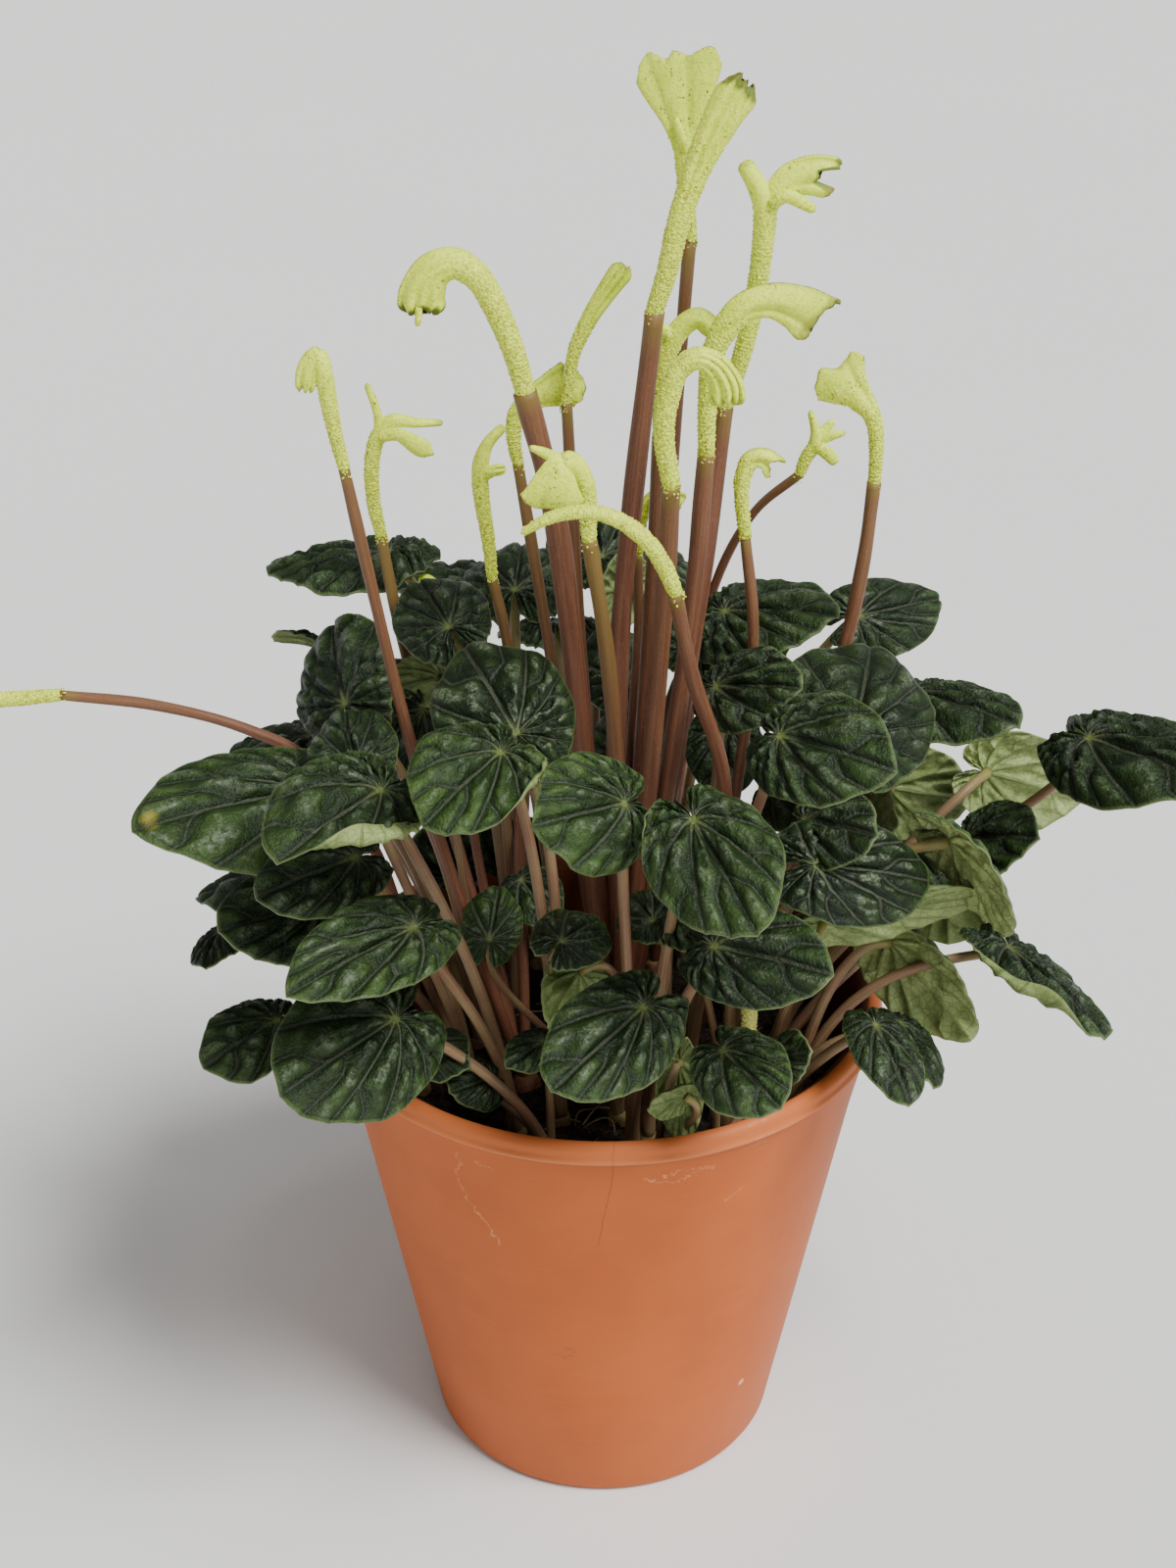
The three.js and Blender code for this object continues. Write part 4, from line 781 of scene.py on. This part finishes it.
def stalk_skin():
    """Red-brown flower stalk with fine dark streaks, olive just under some heads, and painted
    shade towards its foot.
    """
    f = Finish("stalk", roughness=0.45, specular_ior_level=0.35)
    height = f.value("reach")
    streaks = f.noise(f.along((20, 5, 1)), 1, 4, 0.7)
    fleck = f.noise(f.place((1, 1, 0.3)), 0.38, 3, 0.7)
    olive = height.step(0.35, 0.95) * f.value("tone") + height.step(0.94, 0.985) * 0.7
    f.set(base_color=f.layers(
        f.mix(streaks.step(0.32, 0.66), (0.112, 0.037, 0.018), (0.190, 0.076, 0.039)),
        (fleck.step(0.55, 0.7) * 0.45, (0.32, 0.145, 0.072)),
        (fleck.step(0.42, 0.30) * 0.4, (0.075, 0.020, 0.009)),
        (olive.math("MINIMUM", 0.9), (0.190, 0.122, 0.027)),
        # Painted shade: darker towards the foot, under the leaves.
        (height.step(0.16, 0.0) * 0.5, (0.085, 0.022, 0.012))), roughness=0.38 + streaks * 0.2)
    f.bump(streaks + fleck * 0.5, 0.2)
    return f.material


def crest_skin():
    """Pale lime flower spike, pimpled low down, with brown specks and a dark ragged end, and
    painted shade in the furrows between its ribs and over the low spike.
    """
    f = Finish("flower_spike", roughness=0.55, specular_ior_level=0.3)
    where = f.place()
    reach = f.value("reach")
    pimples = f.cells(where, 0.75)
    cloud = f.noise(where, 5, 3)
    specks = f.noise(where, 0.9, 3, 0.7)
    coarse = reach.step(0.75, 0.1)
    brown = specks.step(0.58, 0.66) * (0.3 + f.noise(where, 7, 2).step(0.46, 0.58) * 0.7)
    stain = f.value("silver") * (0.35 + specks.step(0.4, 0.6) * 0.65)
    fringe = (reach + (cloud - 0.5) * 0.08).step(0.93, 0.975)
    pale = f.layers(
        f.mix(cloud.step(0.3, 0.7), (0.70, 0.87, 0.045), (0.84, 0.98, 0.085)),
        (pimples.step(0.3, 0.8) * (0.28 + coarse * 0.5), (0.34, 0.36, 0.022)),
        # Painted shade: darker olive in the furrows between the ribs.
        (f.value("crest").step(0.6, 0.0) * 0.6, (0.33, 0.44, 0.030)),
        (brown * 0.9, (0.15, 0.07, 0.015)),
        (f.value("inner") * (0.1 + stain), (0.13, 0.075, 0.018)),
        (fringe * f.value("tone"),
         f.mix(specks.step(0.45, 0.6), (0.055, 0.130, 0.010), (0.16, 0.09, 0.02))),
        # painted shade over the low spike
        (f.near(where, *SHADED_SPIKE) * 0.7, (0.30, 0.25, 0.11)))
    f.set(base_color=pale, roughness=0.46 + pimples * 0.2)
    f.bump((1 - pimples) * (0.25 + coarse * 0.75), 0.35)
    return f.material


def floret_skin():
    """The tiny pale florets that cover the foot of a spike, in painted shade on the low spike."""
    f = Finish("floret", roughness=0.5, specular_ior_level=0.35)
    where = f.place()
    f.set(base_color=f.layers(
        f.mix(f.noise(where, 1.1, 2).step(0.35, 0.65), (0.56, 0.62, 0.05), (0.80, 0.86, 0.14)),
        (f.near(where, *SHADED_SPIKE) * 0.7, (0.40, 0.34, 0.17))))
    return f.material


# ---- meshes -----------------------------------------------------------------------------
DEEP = Vector((0, 1, 0))  # away from the viewer
NUMBERS = ("crest", "reach", "tone", "inner", "size", "seed", "silver")


def new_mesh():
    """A mesh with a UV map and the numbers that materials read. On a leaf, silver is how strong
    the painted sheen on its crests is. On a head, tone is how dark the end is, inner its border
    and silver the border's stain."""
    bm = bmesh.new()
    bm.loops.layers.uv.verify()
    for name in NUMBERS:
        bm.verts.layers.float.new(name)
    return bm


def sheet(bm, columns, rows, place, material=0, flip=False):
    """Adds a grid whose point at (u, v) goes to place(u, v), which also gives its numbers.
    Points that then coincide are joined."""
    layers = {name: bm.verts.layers.float[name] for name in NUMBERS}
    made = bmesh.ops.create_grid(bm, x_segments=columns, y_segments=rows, size=0.5, calc_uvs=True)
    verts = made["verts"]
    faces = {face for vert in verts for face in vert.link_faces}
    for vert in verts:
        point, numbers = place(vert.co.x + 0.5, vert.co.y + 0.5)
        vert.co = point * MM
        for name, number in numbers.items():
            vert[layers[name]] = number
    for face in faces:
        face.material_index = material
        face.smooth = True
    if flip:
        bmesh.ops.reverse_faces(bm, faces=list(faces))
    bmesh.ops.remove_doubles(bm, verts=verts, dist=2e-6)
    return [face for face in faces if face.is_valid]


def into_mesh(name, bm):
    """Ends the editing of a mesh."""
    mesh = bpy.data.meshes.new(name)
    bm.to_mesh(mesh)
    bm.free()
    return mesh


def into_scene(name, data):
    """Puts a mesh, light or camera into the scene."""
    made = bpy.data.objects.new(name, data)
    bpy.context.collection.objects.link(made)
    return made


def piece(name, bm, materials, node):
    """Makes an object of the mesh, to stand for a node."""
    made = into_scene(name, into_mesh(name, bm))
    for material in materials:
        made.data.materials.append(material)
    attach(made, "root")
    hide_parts(node)
    return made


def smooth(x, low, high):
    """0 below low and 1 above high, smooth between."""
    t = min(1, max(0, (x - low) / (high - low)))
    return t * t * (3 - 2 * t)


def catmull(points, u):
    """A point on the smooth centripetal curve through the points, with u from 0 to 1."""
    place = min(u, 0.999999) * (len(points) - 1)
    k = int(place)
    before = points[k - 1] if k else 2 * points[0] - points[1]
    after = points[k + 2] if k + 2 < len(points) else 2 * points[-1] - points[-2]
    a, b = points[k], points[k + 1]
    knots = [0]
    for p, q in ((before, a), (a, b), (b, after)):
        knots.append(knots[-1] + max((q - p).length ** 0.5, 1e-4))
    t0, t1, t2, t3 = knots
    t = t1 + (place - k) * (t2 - t1)

    def blend(p, q, start, end):
        return p * ((end - t) / (end - start)) + q * ((t - start) / (end - start))

    a1, a2, a3 = blend(before, a, t0, t1), blend(a, b, t1, t2), blend(b, after, t2, t3)
    return blend(blend(a1, a2, t0, t2), blend(a2, a3, t1, t3), t1, t2)


def heading(curve, u):
    """The way that a curve runs at u."""
    ahead, behind = min(1, u + 0.01), max(0, u - 0.01)
    return (curve(ahead) - curve(behind)).normalized()


# ---- pot and soil -------------------------------------------------------------------------
POT_STEPS = 144
# The lip's outline: how far in from the rim's radius, and how far above LIP_LOW.
LIP = [(2.5, -2), (2.1, -0.5), (1.5, 0), (0.5, 0.3), (0, 1), (0.15, 1.6), (0.6, 2.2), (0.7, 3),
       (0.5, 4.2), (0.8, 5)]


def make_pot(clay):
    """A turned wall and lip, spun round the axis, with three drain holes."""
    inner_top = WALL_TOP_RADIUS - WALL
    outside = [(0, 0), (BASE_RADIUS - 3, 0), (BASE_RADIUS - 1.6, 0.25), (BASE_RADIUS - 0.5, 0.9)]
    outside += [(wall_radius(z), z) for z in (2.6, 40, 80, 120)]
    outside += [(RIM_RADIUS - inset, LIP_LOW + rise) for inset, rise in LIP]
    outside += [(RIM_RADIUS - 1.5, POT_HEIGHT - 0.5), (RIM_RADIUS - 2.5, POT_HEIGHT)]
    inside = [(RIM_RADIUS - 3.4, POT_HEIGHT - 0.1), (RIM_RADIUS - 4.4, POT_HEIGHT - 0.9),
              (inner_top + 1.1, POT_HEIGHT - 3), (inner_top, WALL_TOP - 4),
              (wall_radius(60) - WALL, 60), (wall_radius(FLOOR + 2) - WALL, FLOOR + 2),
              (wall_radius(FLOOR) - WALL - 2, FLOOR), (0, FLOOR)]
    bm = new_mesh()
    layer = bm.verts.layers.float["inner"]
    ring = []
    for radius, z in outside + inside:
        vert = bm.verts.new((radius * MM, 0, z * MM))
        # inner marks the inside of the pot, which the clay material paints in shade.
        vert[layer] = float((radius, z) in inside[1:])
        ring.append(vert)
    edges = [bm.edges.new(pair) for pair in zip(ring, ring[1:])]
    bmesh.ops.spin(bm, geom=ring + edges, cent=(0, 0, 0), axis=(0, 0, 1), angle=TAU,
                   steps=POT_STEPS, use_merge=True)
    bmesh.ops.remove_doubles(bm, verts=bm.verts, dist=1e-6)
    bmesh.ops.recalc_face_normals(bm, faces=bm.faces)
    for face in bm.faces:
        face.smooth = True
    pot = piece("clay_pot", bm, [clay], "pot")

    drills = bmesh.new()
    for hole in range(DRAIN_HOLES):
        angle = hole * TAU / DRAIN_HOLES + TAU / 12
        where = Vector((math.cos(angle), math.sin(angle), 0)) * DRAIN_CIRCLE * MM
        bmesh.ops.create_cone(drills, cap_ends=True, segments=24, radius1=DRAIN_RADIUS * MM,
                              radius2=DRAIN_RADIUS * MM, depth=3 * FLOOR * MM,
                              matrix=Matrix.Translation(where))
    cutter = into_scene("drills", into_mesh("drills", drills))
    cut = pot.modifiers.new("drain_holes", "BOOLEAN")
    cut.operation = "DIFFERENCE"
    cut.solver = "EXACT"
    cut.object = cutter
    drilled = pot.evaluated_get(bpy.context.evaluated_depsgraph_get())
    whole = bpy.data.meshes.new_from_object(drilled)
    pot.modifiers.clear()
    pot.data = whole
    bpy.data.objects.remove(cutter)


CRUMBS = 520
ROOTS = 46
ROOT_RADIUS = 0.22


def make_soil(dirt, root_skin):
    """A lumpy block of soil with clods and fine roots on top."""
    rng = random.Random(7)
    top = SOIL_HEIGHT - 1.2
    top_radius = wall_radius(SOIL_HEIGHT) - WALL - SOIL_FIT
    low = FLOOR + 0.35

    def place(u, v):
        angle = TAU * u
        around = Vector((math.cos(angle), math.sin(angle), 0))
        if v <= 0.8:
            spot = around * top_radius * (v / 0.8)
            lump = noise.noise(spot / 9) * 2.2 + noise.noise(spot / 2.6) * 0.9
            settle = 1 - smooth(v, 0.68, 0.8)
            return spot + Vector((0, 0, top + lump * settle)), {"crest": 1.0}
        down = (v - 0.8) / 0.2
        z = top - (top - low) * min(1, 2 * down)
        radius = (wall_radius(z) - WALL - SOIL_FIT) * min(1, 2 - 2 * down)
        return around * radius + Vector((0, 0, z)), {"crest": 0.0}

    bm = new_mesh()
    sheet(bm, 120, 60, place, flip=True)
    for _ in range(CRUMBS):
        angle, reach = rng.uniform(0, TAU), top_radius * math.sqrt(rng.random()) * 0.97
        size = rng.uniform(0.5, 1.7) if rng.random() < 0.85 else rng.uniform(1.8, 3.0)
        spot = Vector((reach * math.cos(angle), reach * math.sin(angle), SOIL_HEIGHT - 0.9))
        turn = Matrix.Rotation(rng.uniform(0, TAU), 4, Vector((rng.random(), rng.random(), 1)))
        shape = Matrix.Diagonal((1, rng.uniform(0.6, 1), rng.uniform(0.5, 0.8), 1))
        bmesh.ops.create_icosphere(bm, subdivisions=1, radius=size * MM,
                                   matrix=Matrix.Translation(spot * MM) @ turn @ shape)
    for _ in range(ROOTS):
        angle, reach = rng.uniform(0, TAU), top_radius * rng.uniform(0.15, 0.95)
        start = Vector((reach * math.cos(angle), reach * math.sin(angle), SOIL_HEIGHT - 2.5))
        way = rng.uniform(0, TAU)
        points = [start]
        for k in range(4):
            way += rng.uniform(-0.9, 0.9)
            hop = Vector((math.cos(way), math.sin(way), 0)) * rng.uniform(2.5, 6)
            lift = (3.2, 4.5, 3.4, 1.0)[k] * rng.uniform(0.5, 1.3)
            spot = (points[-1] + hop).xy
            spot *= min(1, 0.93 * top_radius / spot.length)
            points.append(Vector((*spot, SOIL_HEIGHT - 2 + lift)))
        tube(bm, lambda t, p=points: catmull(p, t), lambda t: ROOT_RADIUS, sides=5, rows=14,
             material=1)
    piece("potting_soil", bm, [dirt, root_skin], "soil")


def tube(bm, curve, radius, sides, rows, material=0, across=None, numbers=None):
    """A round rod along a curve, closed at both ends; radius(t) is its radius along the way."""
    across = across or Vector((0.37, 1, 0.11)).normalized()

    def place(u, v):
        step = round(v * (rows + 2))
        t = min(1, max(0, (step - 1) / rows))
        size = 0 if step in (0, rows + 2) else radius(t)
        forward = heading(curve, t)
        side = across.cross(forward).normalized()
        other = forward.cross(side)
        offset = side * math.cos(TAU * u) + other * math.sin(TAU * u)
        return curve(t) + offset * size, {"reach": t, "crest": 0.5, **(numbers or {})}

    return sheet(bm, sides, rows + 2, place, material, flip=True)


# ---- leaves -----------------------------------------------------------------------------
VEINS = 5.5               # veins on each side of the midrib
VEIN_SWAY = 0.17          # how unevenly they are spread, in gaps between them
VEIN_SWAY_RATE = 7.0
FORK_START = 0.46         # where a vein forks, as a share of the way out
FORK_SPREAD = 0.14        # how far that varies from vein to vein
FORK_TURN = 2.7
FORK_LENGTH = 0.34        # over how much of the way its branches part
WIDE_LEAF = 22            # width from which a leaf gets the finer grid
UPPER, UNDER, RIM, STEM = range(4)  # a shoot's materials


def outline(angle):
    """How far the margin of a blade lies from its join, at an angle off the midrib."""
    body = 0.62 + 0.27 * math.cos(angle) + 0.06 * math.cos(2 * angle)
    tip = 0.08 * math.exp(-((angle / 0.30) ** 2))
    notch = 1 - 0.72 * math.exp(-(((math.pi - abs(angle)) / 0.30) ** 2))
    return (body + tip) * notch


TIP_REACH = outline(0)
HALF_WIDTH_REACH = max(outline(k / 50) * math.sin(k / 50) for k in range(157))


def blade_axes(one):
    """The ways along the midrib, across the blade and out of its upper face."""
    along = (one["tip"] - one["join"]).normalized()
    azimuth, height = map(math.radians, one["face"])
    out = Vector((math.sin(azimuth) * math.cos(height), -math.cos(azimuth) * math.cos(height),
                  math.sin(height)))
    out = (out - along * out.dot(along)).normalized()
    return along, out.cross(along), out


def quilt(u, v, seed, span):
    """How far a point stands on a crest: 0 in the valley of a vein, 1 on top."""
    side = 2 * u - 1
    phase = side * VEINS + VEIN_SWAY * (math.sin(VEIN_SWAY_RATE * side + seed) - math.sin(seed))
    start = FORK_START + FORK_SPREAD * math.sin(FORK_TURN * math.floor(phase) + seed)
    part = abs(phase) % 1
    branch = 0.5 * smooth(v, start, start + FORK_LENGTH)
    if part < branch:
        gap, across = branch, part / branch
    else:
        gap, across = 1 - branch, (part - branch) / (1 - branch)
    crest = math.sin(math.pi * across) ** 0.8 * min(1, 0.3 + 1.3 * gap)
    pucker = noise.noise(Vector((phase * 1.9, v * span / 2.6, seed * 3.1)))
    pucker += 0.5 * noise.noise(Vector((phase * 4.1, v * span / 1.3, seed * 1.7)))
    return min(1, max(0, crest * (0.82 + 0.85 * pucker)))


def blade_point(one, axes, u, v, seed, under):
    """The place of a point of a blade, with u round the join and v out to the margin."""
    along, across, out = axes
    width = one["width"]
    length = (one["tip"] - one["join"]).length
    angle = LOBE_ANGLE * (2 * u - 1)
    bent = angle + VEIN_BEND * math.sin(angle) * (1 - v)
    reach = outline(angle) / TIP_REACH * v
    reach *= 1 + 0.014 * math.sin(9 * angle + seed) * smooth(v, 0.6, 1)
    crest = quilt(u, v, seed, width / 2)
    swell = smooth(v, 0.02, 0.35) * (1 - 0.6 * smooth(v, 0.82, 1))
    a = reach * math.cos(bent) * length
    b = reach * math.sin(bent) * width / (2 * HALF_WIDTH_REACH / TIP_REACH)
    room = min(1, math.hypot(a, b) / RIPPLE_ROOM)
    h = width * (4 * BLADE_LIFT * v * (1 - v) - BLADE_DROOP * v * v)
    h += 0.04 * width * v * v * math.sin(2.6 * angle + seed * 1.7)
    h += 0.012 * width * v**4 * math.sin(8.3 * angle + seed * 2.9)
    groove = MIDRIB_DEPTH * math.exp(-((b / 0.8) ** 2)) * smooth(v, 0.05, 0.2) * (a > 0)
    bend = 0
    if "curl" in one:
        middle, most, start = one["curl"]
        run = max(0, v - start) * math.hypot(a, b)
        turn = most * math.exp(-(((angle - math.radians(middle)) / 0.75) ** 4)) + 1e-4
        arc = min(run, CURL)
        radius, rest = CURL / turn, run - arc
        bend = arc / radius
        pulled = radius * math.sin(bend) + rest * math.cos(turn) - run
        a += pulled * math.cos(bent)
        b += pulled * math.sin(bent)
        h += radius * (1 - math.cos(bend)) + rest * math.sin(turn)
        room *= 1 - 0.5 * min(1, bend)
    h += math.tan(math.radians(one.get("fold", 0))) * abs(b)
    offset = RIPPLE * (3.0 * crest - 2.0) * swell * room * min(1.15, width / FULL_WIDTH) - groove
    if under:
        offset -= BLADE * (1 - 0.5 * smooth(v, 0.55, 1))
    h += offset * math.cos(bend)
    a -= offset * math.sin(bend) * math.cos(bent)
    b -= offset * math.sin(bend) * math.sin(bent)
    point = one["join"] + along * a + across * b + out * h
    # silver is the strength of the painted sheen on the crests, some on every leaf.
    return point, {"crest": crest, "reach": v, "tone": one.get("tone", 0.15), "size": width,
                   "seed": seed, "silver": 0.7 + 0.8 * one.get("silver", 0)}


def petiole_curve(one, axes, foot):
    """The way of a petiole: up out of the soil, and over to the back of its blade."""
    along, _, out = axes
    start = Vector((*foot, SOIL_HEIGHT - 1))
    end = one["join"] - out * BLADE
    span = (end - start).length
    level = Vector((end.x - start.x, end.y - start.y, 0))
    rise = start + level * 0.15 + Vector((0, 0, span * one.get("rise", 0.42)))
    arrive = (out * 0.6 + along * 0.4 + level.normalized() * one.get("level", 0)).normalized()
    before = end - arrive * 0.3 * span

    def curve(t):
        s = 1 - t
        return start * s**3 + rise * 3 * s * s * t + before * 3 * s * t * t + end * t**3

    return curve


def add_leaf(bm, one, foot, seed):
    """Blade with an upper side, underside and rim, and its petiole."""
    axes = blade_axes(one)
    columns, rows = (132, 19) if one["width"] >= WIDE_LEAF else (88, 12)
    top = sheet(bm, columns, rows, lambda u, v: blade_point(one, axes, u, v, seed, False),
                UPPER, flip=True)
    low = sheet(bm, columns, rows, lambda u, v: blade_point(one, axes, u, v, seed, True), UNDER)
    edges = {edge for face in top + low for edge in face.edges if edge.is_boundary}
    rim = bmesh.ops.bridge_loops(bm, edges=list(edges))
    for face in rim["faces"]:
        face.material_index = RIM
        face.smooth = True
    size = PETIOLE * (0.75 if one.get("thin") else 1)

    def radius(t):
        return size * (1.12 - 0.2 * t + 0.25 * smooth(t, 0.93, 1) + 0.5 * smooth(t, 0.12, 0))

    tube(bm, petiole_curve(one, axes, foot), radius, sides=12, rows=26, material=STEM)


def add_crown(bm, foot, radius, material):
    """The short stub in the soil that petioles or stalks grow from."""
    def curve(t):
        return Vector((foot[0], foot[1], SOIL_HEIGHT - ROOT_DEPTH + (ROOT_DEPTH + 2.6) * t))

    tube(bm, curve, lambda t: radius * (1 - 0.22 * t) * (1 - 0.35 * smooth(t, 0.8, 1)),
         sides=18, rows=8, material=material, across=DEEP)


def make_shoots(skins):
    """The leaves, one piece for each shoot."""
    for number, (name, (foot, leaves)) in enumerate(SHOOTS.items()):
        bm = new_mesh()
        add_crown(bm, foot, CROWN, STEM)
        for k, one in enumerate(leaves):
            add_leaf(bm, one, foot, 1.3 * number + 3.1 * k)
        piece(f"leaves_{name}", bm, skins, f"shoot_{name}")


# ---- flower stalks and heads --------------------------------------------------------------
def make_stalks(skin):
    """The flower stalks, one piece for each crown that they grow from."""
    for node, (foot, crown_radius, stalks) in STALKS.items():
        bm = new_mesh()
        add_crown(bm, foot, crown_radius, 0)
        for via, top, radius, olive in stalks.values():
            points = [Vector((*foot, SOIL_HEIGHT - 1)), *map(Vector, via), Vector(top)]

            def size(t, radius=radius):
                return radius * (1.06 - 0.08 * t + 0.05 * math.sin(19 * t + radius * 7))

            tube(bm, lambda t, p=points: catmull(p, t), size, sides=16, rows=56, across=DEEP,
                 numbers={"tone": olive})
        piece(node.replace("stalk", "spike_stem"), bm, [skin], node)


def between(pairs, x):
    """The height over x of a smooth line through pairs of x and height."""
    for (x0, y0), (x1, y1) in zip(pairs, pairs[1:]):
        if x <= x1:
            break
    return y0 + (y1 - y0) * smooth(x, x0, x1)


ARM_ROW = 0.6             # distance between an arm's rings
EDGE_START = 0.62         # from where on the ragged end is drawn out
FLORETS = 15              # for each mm of an arm's length and of its radius
FLORET_REACH = 1.25       # how far the last ones get, as a share of their reach
FLORET_BATCH = 40         # so many at a time, which is faster


def add_arm(bm, one, seed, first):
    """One arm of a head: an oval rod that may widen into a thin ribbed fan with a ragged end.
    The first arm of a head starts on its stalk, and the others branch off."""
    stations = one["stations"]
    centres = [Vector(s[:3]) for s in stations]
    sizes = [Vector((s[3], s[4], 0)) for s in stations]
    if first:
        centres[0] -= (centres[1] - centres[0]).normalized() * 1.0
        sizes[0] *= 0.93
    length = sum((q - p).length for p, q in zip(centres, centres[1:]))
    end_broad, end_thick = stations[-1][3:]
    flat = smooth(end_broad / end_thick, 1.6, 3)
    sides = 56 if one["ribs"] else 36
    rows = max(16, int(length / ARM_ROW))
    closing = min(0.3, 1.6 * end_thick / length)

    def place(u, v):
        step = round(v * (rows + 1))
        t = max(0, (step - 1) / rows)
        size = catmull(sizes, t) if step else Vector((0, 0, 0))
        forward = heading(lambda w: catmull(centres, w), t)
        side = DEEP.cross(forward).normalized()
        x, y = math.cos(TAU * u), math.sin(TAU * u)
        shut = math.sqrt(max(0, 1 - max(0, (t - 1 + closing) / closing) ** 2))
        narrow = 1 - (1 - shut) * min(1, end_thick / end_broad)
        opened = smooth(t, one["opens"], one["opens"] + 0.5)
        furrow = 1.0
        if one["ribs"]:
            turn = one["ribs"] * (x + 0.07 * math.sin(4 * x + seed)) + one["groove"]
            furrow = abs(math.cos(math.pi * turn / 2)) ** 0.8
        rib = 1 + (furrow - 0.75) * 0.75 * opened
        border = 0.3 * flat * opened * smooth(abs(x), 0.8, 0.97)
        offset = side * x * size.x * narrow
        offset += DEEP * y * (size.y * rib + border) * shut
        point = catmull(centres, t) + offset
        reach = between(one["edge"], x) + one["fingers"] * furrow
        reach += one["ragged"] * noise.noise(Vector((x * 3.1 + seed, 0.7 * y, seed)))
        reach += one["ragged"] * 0.6 * noise.noise(Vector((x * 9.3, y * 2, seed + 5)))
        point += forward * reach * smooth(t, EDGE_START, 1)
        rim = max(smooth(abs(x), 0.95, 0.998) * flat * opened, smooth(t, 0.97, 1) * opened)
        furrow = 1 + (furrow - 1) * opened
        return point, {"crest": furrow, "inner": rim, "silver": one["stain"],
                       "reach": t if first else 0.35 + 0.65 * t, "tone": one["green"]}

    sheet(bm, sides, rows + 1, place, flip=True)
    reach = one["florets"] if first else 0
    count = int(FLORETS * reach * length * sum(stations[0][3:]) / 2)
    add_florets(bm, count, reach, seed, centres,
                lambda u, t: place(u, (1 + t * rows) / (rows + 1))[0])


def add_florets(bm, count, reach, seed, centres, skin):
    """Tiny balls sunk in an arm's skin, dense at its foot, with a few strays on the stalk."""
    rng = random.Random(int(seed * 100))
    down = (centres[0] - centres[1]).normalized()
    spots = []
    for _ in range(count):
        t = rng.random() * FLORET_REACH * reach
        if t > 1 or rng.random() < smooth(t, 0.6 * reach, FLORET_REACH * reach):
            continue
        spot = skin(rng.random(), t)
        outward = (spot - catmull(centres, t)).normalized()
        stray = down * rng.uniform(0, 2.4) if t < 0.03 else Vector()
        spots.append((spot - outward * 0.02 + stray, rng.uniform(0.22, 0.33)))
    for start in range(0, len(spots), FLORET_BATCH):
        balls = bmesh.new()
        for spot, size in spots[start:start + FLORET_BATCH]:
            bmesh.ops.create_icosphere(balls, subdivisions=1, radius=size * MM,
                                       matrix=Matrix.Translation(spot * MM))
        for face in balls.faces:
            face.smooth = True
            face.material_index = 1
        batch = into_mesh("florets", balls)
        bm.from_mesh(batch)
        bpy.data.meshes.remove(batch)


def make_heads(skins):
    """The flower spikes, each a piece of its own."""
    for number, (name, arms) in enumerate(HEADS.items()):
        bm = new_mesh()
        for k, one in enumerate(arms):
            add_arm(bm, one, number * 1.7 + k, k == 0)
        piece(f"spike_{name}", bm, skins, f"head_{name}")


# ---- what the plant stands on, light and camera ------------------------------------------
CAMERA_PLACE = (0, -593.4, 540.1)
CAMERA_TURN = (math.pi / 2 - 0.50378, 0.000645, 0.00723)
CAMERA_LENS = 56.52


def make_stage():
    """A pale floor, soft studio light and the camera."""
    bm = bmesh.new()
    bmesh.ops.create_grid(bm, x_segments=1, y_segments=1, size=40)
    paper = Finish("pale_paper", roughness=0.85, specular_ior_level=0.2)
    tint = paper.noise(paper.place(), 400, 2)
    paper.set(base_color=paper.mix(tint, (0.74, 0.74, 0.725), (0.77, 0.77, 0.755)))
    ground = into_scene("floor", into_mesh("floor", bm))
    ground.data.materials.append(paper.material)

    world = bpy.data.worlds.new("room")
    world.use_nodes = True
    sky = world.node_tree.nodes["Background"].inputs
    sky["Color"].default_value = (0.97, 0.98, 1, 1)
    sky["Strength"].default_value = 0.38
    bpy.context.scene.world = world
    for name, energy, spread, way in (("skylight", 4.9, 27, (-0.62, 0.5, -1.2)),
                                      ("fill_light", 1.0, 50, (-0.4, 0.9, -0.12))):
        sun = bpy.data.lights.new(name, "SUN")
        sun.energy = energy
        sun.angle = math.radians(spread)
        into_scene(name, sun).rotation_euler = Vector(way).to_track_quat("-Z", "Y").to_euler()

    camera = into_scene("camera", bpy.data.cameras.new("camera"))
    camera.location = Vector(CAMERA_PLACE) * MM
    camera.rotation_euler = CAMERA_TURN
    camera.data.lens = CAMERA_LENS
    camera.data.clip_start = 0.02
    bpy.context.scene.camera = camera


make_stage()
petiole = petiole_skin()
make_pot(terracotta())
make_soil(humus(), petiole)
make_shoots([upper_skin(), under_skin(), rim_skin(), petiole])
make_stalks(stalk_skin())
make_heads([crest_skin(), floret_skin()])
